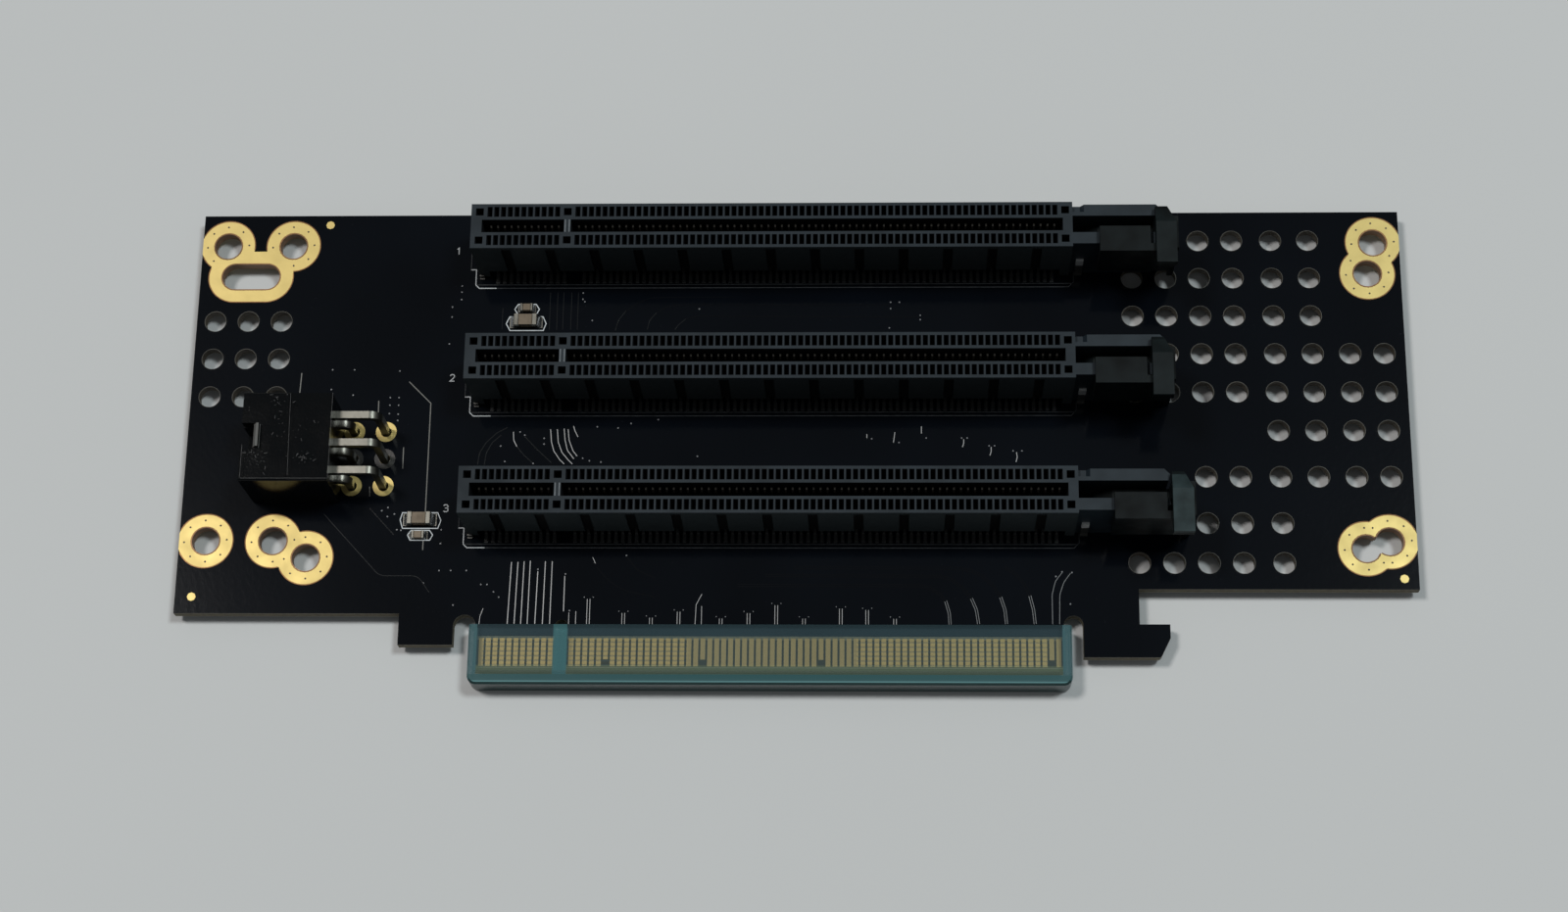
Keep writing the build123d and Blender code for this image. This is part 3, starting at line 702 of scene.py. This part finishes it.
def hole_shapes():
    """Every fixing hole as its middle, its half length, and the points that stand for its length."""
    shapes = [(centre, 0.0, [centre]) for centre in fixing_holes]
    spine = [(long_hole[0] + long_hole_half * (i / 6 - 1), long_hole[1]) for i in range(13)]
    return shapes + [(long_hole, long_hole_half, spine)]


def line_holes(name, radius, width, low, height, finish):
    """Strips round every fixing hole at a radius, left out where they would run into a neighbour."""
    mesh = bmesh.new()
    shapes = hole_shapes()
    for i, (centre, half, _) in enumerate(shapes):
        blockers = [point for j, other in enumerate(shapes) if j != i for point in other[2]]
        for run, closed in open_runs(hole_outline(centre, half, radius), blockers, radius):
            points = [at(px, py) for px, py in run]
            for point in points:
                point.z = low
            add_ribbon(mesh, points, width * MM, height, closed)
    piece(name, mesh, finish)


# Fixing holes: copper rims, plated walls, via dots in the pads, and the same pads on the back
def dress_fixings():
    plate = 0.05
    rim_width, wall_width = 0.16, 0.19
    rim_low = board_top + plate * MM * 0.4
    line_holes("pad_rims", fixing_pad_radius - 0.02, rim_width, rim_low, plate * MM, pad_rim)
    wall_low, wall = board_back - plate * MM, board_top - board_back + 2 * plate * MM
    line_holes("fixing_hole_walls", fixing_radius - 0.1, wall_width, wall_low, wall, plated_wall)
    draw_dots("pad_vias", pad_via_places(), 0.15, 0.0, hole_dark, lift=plate, thickness=0.006, sides=10)
    for source in ("fixing_pads", "alignment_dots"):
        name = f"{source}_back"
        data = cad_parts[source].data.copy()
        data.name = name
        data.transform(Matrix.Translation((0, 0, -(board_top - board_back + plate * MM))))
        made = add_object(name, data)
        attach(made, "board")


def pad_via_places():
    """Eight dots round each fixing hole, without those near another hole or past the board's edge."""
    ring, least_gap = 3.15, 3.2
    side_limit, top_limit = 89.6, 62.1
    shapes = hole_shapes()
    places = []
    for x, y in fixing_holes:
        others = [point for centre, _, spine in shapes if centre != (x, y) for point in spine]
        for i in range(8):
            turn = math.pi * i / 4 + 0.06
            dot = (x + ring * math.cos(turn), y + ring * math.sin(turn))
            clear = min(math.hypot(dot[0] - ox, dot[1] - oy) for ox, oy in others)
            if clear > least_gap and dot[1] < top_limit and abs(dot[0]) < side_limit:
                places.append(dot)
    return places


# Vents: drilled walls darkened as painted shade, and on each face a ring of mask with a bare laminate edge
# that is also a painted edge highlight
vent_xs = [50.1, 55.1, 60.1, 65.1, 70.9, 76.4, 81.9, 86.9]
vent_ys = [57.9, 51.9, 45.9, 39.9, 33.9, 27.9, 20.8, 13.75, 7.75]
vent_spans = ((2, 6), (0, 6), (0, 6), (1, 8), (0, 8), (4, 8), (2, 8), (2, 5), (0, 5))
vents = [(x, y) for y in (45.35, 39.35, 33.35) for x in (-87.2, -82.2, -77.2)]
vents += [(x, y) for y, (first, stop) in zip(vent_ys, vent_spans) for x in vent_xs[first:stop]]


def dress_vents():
    bore, sides = vent_radius - 0.06, 28
    mesh = bmesh.new()
    for x, y in vents:
        centre = at(x, y)
        centre.z = board_back
        add_ring(mesh, centre, (vent_radius - 0.005) * MM, bore * MM, board_top - board_back, sides)
    piece("vent_walls", mesh, hole_wall)
    for face in FACES:
        draw_dots(f"vent_rims_{face}", vents, vent_radius + 0.2, bore, board_mask, face, 0.0, 0.012, sides)
        draw_dots(f"vent_edges_{face}", vents, vent_radius - 0.02, bore, vent_rim, face, 0.012, 0.008, sides)


# Traces under the mask, as the light picks them out
def beside(route, gap):
    """A copy of a route, moved sideways by a gap."""
    made = []
    for i, (x, y) in enumerate(route):
        (ax, ay), (bx, by) = route[max(i - 1, 0)], route[min(i + 1, len(route) - 1)]
        length = math.hypot(bx - ax, by - ay)
        made.append((x - (by - ay) / length * gap, y + (bx - ax) / length * gap))
    return made


trace_foot = -1.5
stub_tops = [(-29.5, 2.4), (-24.4, 0.3), (-20.4, -0.4), (-16.4, 0.5), (-10.3, -0.5), (-6.3, 0.3), (-2.3, 1.5),
             (1.7, -0.5), (7.0, 1.0), (10.8, 0.8), (14.8, -0.5)]


def dress_bus():
    """The bright lines and the paired stubs just above the edge contacts."""
    bus = [[(low, trace_foot), (high, top)] for low, high, top in (
        (-41.2, -40.95, 7.8), (-40.2, -40.0, 7.8), (-39.25, -39.1, 7.9), (-38.3, -38.2, 8.0),
        (-37.2, -37.05, 6.4), (-36.1, -36.0, 7.9), (-35.05, -35.0, 7.9))]
    bus.append([(-33.1, 0.4), (-33.1, 5.7)])
    stubs = [[(x + side * 0.2, trace_foot), (x + side * 0.2, top - 0.15)] for x, top in stub_tops
             for side in (-1, 1)]
    stubs += [[(-13.1, trace_foot), (-13.1, 1.2)], [(-14.0, trace_foot), (-13.9, 1.4), (-13.1, 3.0)],
              [(-32.3, trace_foot), (-32.3, 0.2)], [(-31.3, trace_foot), (-31.3, 0.4)],
              [(-45.3, -1.6), (-45.2, -0.4), (-44.8, 0.8)], [(-29.1, 8.5), (-28.7, 7.6)]]
    draw_traces("bus_traces", bus, 0.12, bright_trace)
    draw_traces("stub_traces", stubs, 0.08, bright_trace)


def dress_curves():
    """Pairs that curve away to the left, lit only where they start."""
    curves = [
        [(22.7, -1.5), (22.6, 0.2), (22.1, 2.0), (21.1, 3.2), (19.8, 4.0), (18.4, 4.3), (10.1, 4.3),
         (-8.0, 4.3)],
        [(26.8, -1.4), (26.5, 0.7), (25.8, 2.4), (24.6, 4.0), (23.0, 5.2), (21.3, 5.7), (10.1, 5.8),
         (-4.0, 5.8)],
        [(30.8, -1.4), (30.6, 0.7), (30.0, 2.6), (28.8, 4.5), (27.3, 5.8), (25.7, 6.6), (23.6, 6.9),
         (0.0, 7.0)],
        [(34.9, -1.4), (34.7, 0.7), (34.2, 2.8), (33.3, 4.8), (32.1, 6.2), (30.6, 7.1)],
    ]
    singles = [[(37.4, -1.4), (37.4, 3.0), (37.9, 5.0), (38.9, 6.3)],
               [(38.4, -1.4), (38.5, 3.0), (39.1, 4.8), (40.1, 6.2)]]
    pairs = [beside(route, side * 0.16) for route in curves for side in (-1, 1)]
    draw_traces("curved_traces", pairs, 0.11, hidden_trace, turn=2.5)
    starts = [route[:3] for route in pairs]
    draw_traces("curved_trace_ends", starts + singles, 0.09, soft_trace, turn=2.5, lift=0.004)


def dress_middle():
    """Short bends and stubs between the near slot and the middle one."""
    middle = [
        [(-46.6, 22.7), (-46.4, 24.5), (-45.5, 26.1), (-44.0, 27.6), (-42.4, 28.5)],
        [(-45.6, 22.7), (-45.4, 24.5), (-44.6, 26.1), (-43.3, 27.3)],
        [(-41.5, 27.8), (-41.4, 26.5), (-40.9, 25.5), (-39.8, 24.2), (-38.5, 23.0)],
        [(-39.8, 27.1), (-37.9, 25.1), (-35.7, 23.0)],
        [(-36.0, 28.2), (-35.8, 26.2), (-35.4, 24.8), (-34.5, 23.5), (-33.8, 22.8)],
        [(-35.0, 28.2), (-34.8, 26.2), (-34.2, 24.6), (-33.2, 23.4), (-32.6, 22.8)],
        [(-34.0, 28.3), (-33.8, 26.5), (-33.4, 24.9), (-32.4, 23.6)],
        [(-33.4, 28.2), (-33.2, 26.5), (-32.6, 24.9), (-32.0, 24.1)],
        [(-32.6, 28.7), (-32.4, 28.0), (-31.9, 27.0)],
        [(10.7, 27.4), (10.7, 26.8)], [(14.8, 27.7), (14.6, 26.1)], [(18.7, 28.6), (18.7, 27.5)],
        [(24.9, 26.6), (24.9, 26.0), (24.7, 25.4)], [(28.9, 25.4), (28.9, 24.7), (28.7, 24.1)],
        [(32.6, 24.6), (32.7, 23.8), (32.5, 23.1)],
    ]
    draw_traces("middle_traces_faint", middle[:4], 0.11, faint_trace, turn=1.2)
    draw_traces("middle_traces", [middle[2][:3]] + middle[4:], 0.11, bright_trace, turn=1.2, lift=0.004)


def dress_far():
    """Lines between the middle slot and the far one, lit only where they start."""
    far_curves = [
        [(-26.9, 43.8), (-26.5, 45.4), (-25.4, 46.9), (-23.8, 48.1), (-21.8, 49.0), (-18.1, 49.1),
         (-8.9, 49.1)],
        [(-22.1, 43.9), (-21.8, 45.4), (-20.8, 46.6), (-19.4, 47.5), (-17.1, 47.9), (14.0, 47.8)],
        [(-18.0, 43.9), (-17.5, 44.6), (-16.4, 45.6), (-14.8, 46.0), (18.6, 45.8)],
    ]
    draw_traces("curves_above", far_curves, 0.12, hidden_trace, turn=2.0)
    lit_starts = [route[:3] for route in far_curves]
    lit_starts += [[(x, 43.9), (x, 49.9)] for x in (-36.8, -35.7, -34.8, -33.6, -32.6)]
    lit_starts.append([(-43.9, 44.0), (-43.9, 47.4)])
    draw_traces("lit_starts_above", lit_starts, 0.1, faint_trace, turn=1.5, lift=0.004)


def dress_left():
    """Two runs that hardly show, and the thin and the wide lines between the inlet and the slots."""
    hidden = [[(-28.5, 7.0), (-26.5, 4.8), (-24.0, 3.4), (-20.0, 2.6)],
              [(-24.2, 8.7), (-22.6, 6.6), (-20.0, 5.4)]]
    draw_traces("hidden_traces", hidden, 0.12, hidden_trace, turn=2.0)
    thin = [[(-68.9, 15.1), (-60.2, 5.7), (-54.5, 5.7), (-52.8, 3.2)], [(-62.2, 16.0), (-58.4, 11.9)]]
    draw_traces("upper_traces", thin, 0.11, faint_trace, turn=2.0)
    supply = [
        [(-57.4, 35.7), (-54.0, 32.3), (-53.95, 15.4)], [(-54.05, 11.1), (-54.05, 9.6)],
        [(-73.6, 37.1), (-73.7, 34.0)], [(-61.8, 32.7), (-61.75, 30.8)], [(-57.7, 25.4), (-57.65, 22.1)],
        [(-62.4, 19.3), (-62.3, 17.8)],
    ]
    draw_traces("supply_traces", supply, 0.14, supply_line)


def dress_vias():
    vias = [
        (-33.0, 6.0), (-37.05, 6.7), (-32.25, 0.5), (-24.2, 8.8), (-69.0, 37.6), (-65.7, 37.6),
        (-69.0, 34.5), (-65.7, 33.6), (-60.1, 33.2), (-58.8, 33.2), (-60.1, 32.0), (-58.8, 32.0),
        (-60.1, 30.7), (-58.8, 30.6), (-58.8, 29.6), (-50.2, 51.0), (-50.2, 50.0), (-50.2, 48.8),
        (-51.5, 47.6), (-51.5, 46.0), (-51.7, 41.7), (-58.9, 37.4), (-59.5, 16.1), (-60.4, 15.6),
        (-58.5, 15.1), (-59.5, 14.7), (-58.0, 12.7), (-57.4, 12.6), (-51.5, 12.7), (-51.5, 10.6),
        (-51.5, 6.5), (-49.8, 6.5), (-47.5, 6.5), (-45.3, 4.4), (-44.4, 4.4), (-43.4, 3.3), (-42.6, 2.5),
        (-49.2, 1.3), (-53.7, 4.6), (38.9, 6.4), (40.3, 6.3), (38.0, 5.7), (40.0, 1.6), (-43.3, 25.6),
        (-42.6, 23.2), (-40.5, 27.8), (-39.8, 27.3), (-38.4, 22.9), (-36.9, 26.8), (-36.9, 25.9),
        (-32.0, 24.1), (-31.1, 23.7), (-30.1, 23.3), (-28.4, 23.1), (-29.1, 28.6), (-26.0, 28.4),
        (-24.1, 29.1), (-20.1, 29.7), (-14.2, 24.0), (11.4, 26.7), (15.4, 26.1), (19.4, 26.8), (24.6, 26.8),
        (25.4, 26.8), (28.6, 25.6), (29.4, 25.6), (32.1, 24.8), (33.4, 24.8), (-31.9, 49.8), (-31.9, 48.8),
        (-31.6, 48.4), (-30.4, 45.4), (-14.4, 47.2), (14.2, 48.2), (14.2, 47.2), (15.5, 48.2), (18.6, 46.1),
        (18.6, 45.4), (14.0, 44.1),
    ]
    draw_dots("vias_front", vias, 0.11, 0.04, via_ring, sides=12)
    stub_vias = [(x + side * 0.66, top + 0.12) for x, top in stub_tops for side in (-1, 1)]
    draw_dots("stub_vias_front", stub_vias, 0.07, 0.0, via_ring, sides=10)
    draw_dots("vias_back", vias, 0.2, 0.07, via_ring, "back", sides=12)


def dress_back():
    """Guessed pairs on the underside, and two wide feeds from the inlet."""
    first, gap, rise, sidestep = -29.0, 4.1, 0.4, 5.0
    routes = []
    for i in range(16):
        x = first + gap * i
        end = (27.0, 46.5)[i % 2]
        routes.append([(x, trace_foot), (x, 8.0 + i * rise), (x + sidestep, 13.0 + i * rise),
                       (x + sidestep, end)])
    pairs = [beside(route, side * 0.18) for route in routes for side in (-1, 1)]
    draw_lines("back_traces", pairs, 0.15, faint_trace, "back", turn=1.5)
    feed = [[(-60.4, 19.4), (-56.0, 15.0), (-50.0, 15.0)], [(-60.4, 27.8), (-52.0, 36.0), (-46.0, 36.0)]]
    draw_lines("back_feeds", feed, 1.6, faint_trace, "back")


# Ink on the board: outlines round the slots and capacitors, and a plain numeral for each slot
STROKES = {
    1: [[(0.1, 0.8), (0.35, 1.0), (0.35, 0.0)]],
    2: [[(0.0, 0.8), (0.12, 0.96), (0.3, 1.0), (0.5, 0.95), (0.6, 0.78), (0.56, 0.6), (0.0, 0.0),
         (0.62, 0.0)]],
    3: [[(0.0, 0.88), (0.15, 1.0), (0.45, 1.0), (0.6, 0.85), (0.6, 0.66), (0.45, 0.53), (0.22, 0.53)],
        [(0.45, 0.53), (0.62, 0.38), (0.62, 0.15), (0.45, 0.0), (0.15, 0.0), (0.0, 0.12)]],
}


def dress_ink():
    outer_x, inner_x = -48.95, -48.15
    outer_half, inner_half = 5.4, 4.85
    routes = []
    for y in slot_rows:
        for way in (1, -1):
            routes.append([(outer_x, y), (outer_x, y - way * 2.3), (inner_x, y - way * 2.3),
                           (inner_x, y - way * inner_half), (-47.6, y - way * outer_half),
                           (40.7, y - way * outer_half), (41.45, y - way * 4.6), (41.45, y - way * 2.5)])
            routes.append([(-48.0, y - way * inner_half), (41.2, y - way * inner_half)])
    rings = [
        [(-57.6, 14.2), (-57.3, 15.3), (-52.1, 15.3), (-51.6, 14.1), (-52.0, 12.9), (-57.2, 12.9)],
        [(-56.4, 11.9), (-55.9, 12.6), (-53.2, 12.6), (-52.7, 11.9), (-53.1, 11.1), (-56.0, 11.1)],
        [(-42.1, 47.2), (-41.6, 48.0), (-38.9, 48.0), (-38.4, 47.2), (-38.8, 46.4), (-41.6, 46.4)],
        [(-43.3, 44.9), (-42.8, 46.0), (-37.8, 46.0), (-37.3, 44.9), (-37.7, 43.8), (-42.7, 43.8)],
    ]
    lit = [[(outer_x, y - 2.4), (inner_x, y - 2.4), (inner_x, y - inner_half), (-47.6, y - outer_half),
            (-45.0, y - outer_half)] for y in slot_rows]
    lit += [ring + ring[:1] for ring in rings]
    draw_lines("slot_outlines", routes, 0.13, shaded_ink)
    draw_lines("ink_outlines", lit, 0.14, silk_ink, lift=0.012)
    size, left = 1.05, -51.3
    for number, y in zip(slot_numbers, slot_rows):
        strokes = [[(left + px * size, y + 0.1 + py * size) for px, py in stroke]
                   for stroke in STROKES[number]]
        draw_lines(f"slot_numeral_{number}", strokes, 0.15, silk_ink)


# Slot contacts: a bowed strip at each side of the channel, and a bent tail on a pad at the foot
CONTACT_BOW = ((0.95, 2.2), (0.75, 6.2), (0.45, 7.6), (0.28, 8.3), (0.34, 8.7), (0.62, 9.15), (0.85, 9.4))
TAIL_BEND = ((2.62, 1.9), (2.8, 1.5), (3.0, 0.9), (3.15, 0.35), (3.35, 0.14), (4.35, 0.09))


def dress_slots():
    across = Vector((1, 0, 0))
    for number, y in zip(slot_numbers, slot_rows):
        inside, tails = bmesh.new(), bmesh.new()
        for x in contact_xs:
            for side in (1, -1):
                bow = [at(x, y + side * out, up) for out, up in CONTACT_BOW]
                add_strip(inside, bow, across, 0.26 * MM, 0.1 * MM)
                tail = [at(x, y + side * out, up) for out, up in TAIL_BEND]
                add_strip(tails, tail, across, 0.38 * MM, 0.14 * MM)
        piece(f"slot_contacts_{number}", inside, contact_metal)
        piece(f"slot_tails_{number}", tails, tail_metal)
        pads = [[(x, y + side * 3.25), (x, y + side * 4.65)] for x in contact_xs for side in (1, -1)]
        draw_lines(f"tail_pads_{number}", pads, 0.55, tail_solder)
        # Painted highlights along the two ridges of the key rib
        ridges = bmesh.new()
        for step in (-0.3, 0.3):
            ends = [at(key_x + step, y + end, slot_height + 0.005) for end in (-0.98, 0.98)]
            add_ribbon(ridges, ends, 0.2 * MM, 0.03 * MM)
        piece(f"key_ridge_highlights_{number}", ridges, key_ridge_highlight)


# Power inlet: plated rings and walls at its pins, painted highlights along its roof's step and edges, and
# scuffs on its roof
SCUFF_CLUSTERS = ((-73.0, 23.6, 6.0, 30), (-76.9, 20.3, 1.6, 26), (-69.9, 20.3, 1.4, 22),
                   (-74.6, 28.6, 2.6, 16))


def roof_scratches():
    """Short scuffs in loose clusters, left out on the catch."""
    random.seed(7)
    scratches = []
    for middle_x, middle_y, reach, number in SCUFF_CLUSTERS:
        for _ in range(number):
            x = min(max(random.gauss(middle_x, reach / 2), -78.4), -67.0)
            y = min(max(random.gauss(middle_y, reach / 2), 17.4), 29.6)
            if not (x < -74.8 and 21.2 < y < 26.2):
                turn, length = random.uniform(0, math.pi), random.choice((0.06, 0.1, 0.15, 0.5))
                scratches.append([(x, y), (x + length * math.cos(turn), y + length * math.sin(turn))])
    return scratches


def dress_inlet():
    ring, back_ring, bore, plate, sides = 1.55, 1.8, 0.8, 0.04, 32
    low_y, middle_y, high_y = inlet_pin_ys
    outer = [(x, y) for x in inlet_pin_xs for y in (low_y, high_y)]
    inner = [(x, middle_y) for x in inlet_pin_xs]
    draw_dots("pin_rings", outer, ring, bore, gold, sides=sides, thickness=plate)
    # The middle pins' rings are drawn dark
    draw_dots("pin_rings_dark", inner, ring, bore, dark_copper, sides=sides, thickness=plate)
    draw_dots("pin_rings_back", outer + inner, back_ring, bore, solder, "back", sides=sides, thickness=plate)
    walls = bmesh.new()
    for x, y in outer + inner:
        centre = at(x, y)
        centre.z = board_back
        add_ring(walls, centre, 0.84 * MM, 0.79 * MM, board_top - board_back, 24)
    piece("pin_hole_walls", walls, gold)
    roof = (inlet_roof - board_top) / MM
    step_x, step_drop = -72.55, 0.2
    # The step line and the edge lines are painted highlights; the scratches are scuffs
    step_highlight = [[(-72.47, 29.9), (-72.35, 24.0), (-72.2, 17.5)]]
    edges = [[(-78.9, 16.95), (-66.5, 16.95)], [(-79.0, 22.0), (-79.0, 17.0)],
             [(-66.35, 17.1), (-66.35, 30.0)]]
    for routes, width, name in ((step_highlight, 0.035, "roof_step_highlight"), (edges, 0.035, "roof_edge_highlights"),
                                (roof_scratches(), 0.04, "roof_scratches")):
        mesh = bmesh.new()
        for route in routes:
            up = roof - step_drop * (route[0][0] > step_x)
            add_ribbon(mesh, [at(px, py, up) for px, py in route], width * MM, 0.012 * MM)
        piece(name, mesh, scratch_and_highlight)


# Capacitors: middle, length, width and height, with a tinned pad and a solder fillet at each end
CAPACITORS = ((-54.7, 14.2, 3.5, 1.65, 1.3), (-54.8, 11.8, 1.9, 1.0, 0.8),
              (-40.3, 45.15, 3.5, 1.65, 1.3), (-40.25, 47.3, 1.9, 1.0, 0.8))


def dress_capacitors():
    film = 0.03
    pads, fillets = bmesh.new(), bmesh.new()
    for x, y, length, width, height in CAPACITORS:
        for way in (-1, 1):
            end = x + way * length / 2
            reach = length * 0.2
            half = width / 2 + 0.1
            add_ribbon(pads, [at(end - way * 0.4, y), at(end + way * reach, y)], 2 * half * MM, film * MM)
            near = [at(end, y - half, film), at(end + way * reach * 0.85, y - half * 0.9, film),
                    at(end + way * reach * 0.4, y - half * 0.9, height * 0.22),
                    at(end, y - half * 0.95, height * 0.7)]
            far = [corner + Vector((0, 2 * (y * MM - (corner.y - zero_y)), 0)) for corner in near]
            first = [fillets.verts.new(corner) for corner in near]
            second = [fillets.verts.new(corner) for corner in far]
            fillets.faces.new(first)
            fillets.faces.new(second[::-1])
            for k in range(4):
                fillets.faces.new((first[k], second[k], second[(k + 1) % 4], first[(k + 1) % 4]))
    bmesh.ops.recalc_face_normals(fillets, faces=fillets.faces)
    piece("capacitor_fillets", fillets, solder)
    piece("capacitor_pads", pads, tin)


for dress in (dress_fixings, dress_vents, dress_bus, dress_curves, dress_middle, dress_far, dress_left,
              dress_vias, dress_back, dress_ink, dress_slots, dress_inlet, dress_capacitors):
    dress()


# Camera at the photograph's place and angle
camera_place = Vector((14.21, -131.475, 395.78)) * MM
camera_right = Vector((0.99928, 0.01143, -0.03609))
camera_up = Vector((0.00045, 0.94963, 0.31338))
camera_data = bpy.data.cameras.new("camera")
camera_data.lens = 64.74
camera_data.sensor_width = 36.0
camera_data.clip_start = 0.01
camera = add_object("camera", camera_data)
axes = Matrix((camera_right, camera_up, camera_right.cross(camera_up))).transposed()
camera.matrix_world = Matrix.Translation(camera_place) @ axes.to_4x4()
scene.camera = camera


def area_light(name, place, watts, colour):
    """A square lamp that faces the origin of the frame."""
    data = bpy.data.lights.new(name, "AREA")
    data.shape = "RECTANGLE"
    data.size = lamp_side
    data.size_y = lamp_side
    data.energy = watts
    data.color = colour
    made = add_object(name, data)
    made.location = place
    made.rotation_euler = (-Vector(place)).to_track_quat("-Z", "Y").to_euler()


# Two soft lamps high above the card and a little behind it: warm at the left, cool at the right
lamp_side = 0.62
area_light("lamp_left", (-1.4, 0.6, 3.0), 47.0, (1.0, 0.965, 0.94))
area_light("lamp_right", (1.2, 0.58, 3.0), 41.0, (0.9, 0.985, 1.0))

world = bpy.data.worlds.new("studio")
world.use_nodes = True
sky = world.node_tree.nodes["Background"]
sky.inputs["Color"].default_value = (0.94, 0.98, 1.0, 1)
sky.inputs["Strength"].default_value = 0.15
scene.world = world
scene.view_settings.view_transform = "Standard"

floor_half = 4.0
floor_mesh = bmesh.new()
bmesh.ops.create_grid(floor_mesh, x_segments=1, y_segments=1, size=floor_half)
floor_data = bpy.data.meshes.new("floor")
floor_mesh.to_mesh(floor_data)
floor_mesh.free()
floor = add_object("floor", floor_data)
floor_finish = simple("pale_floor", FLOOR_PALE, scaled(FLOOR_PALE, 0.985), (0.7, 0.8), grain=900, drift=6.0)
floor_data.materials.append(floor_finish)
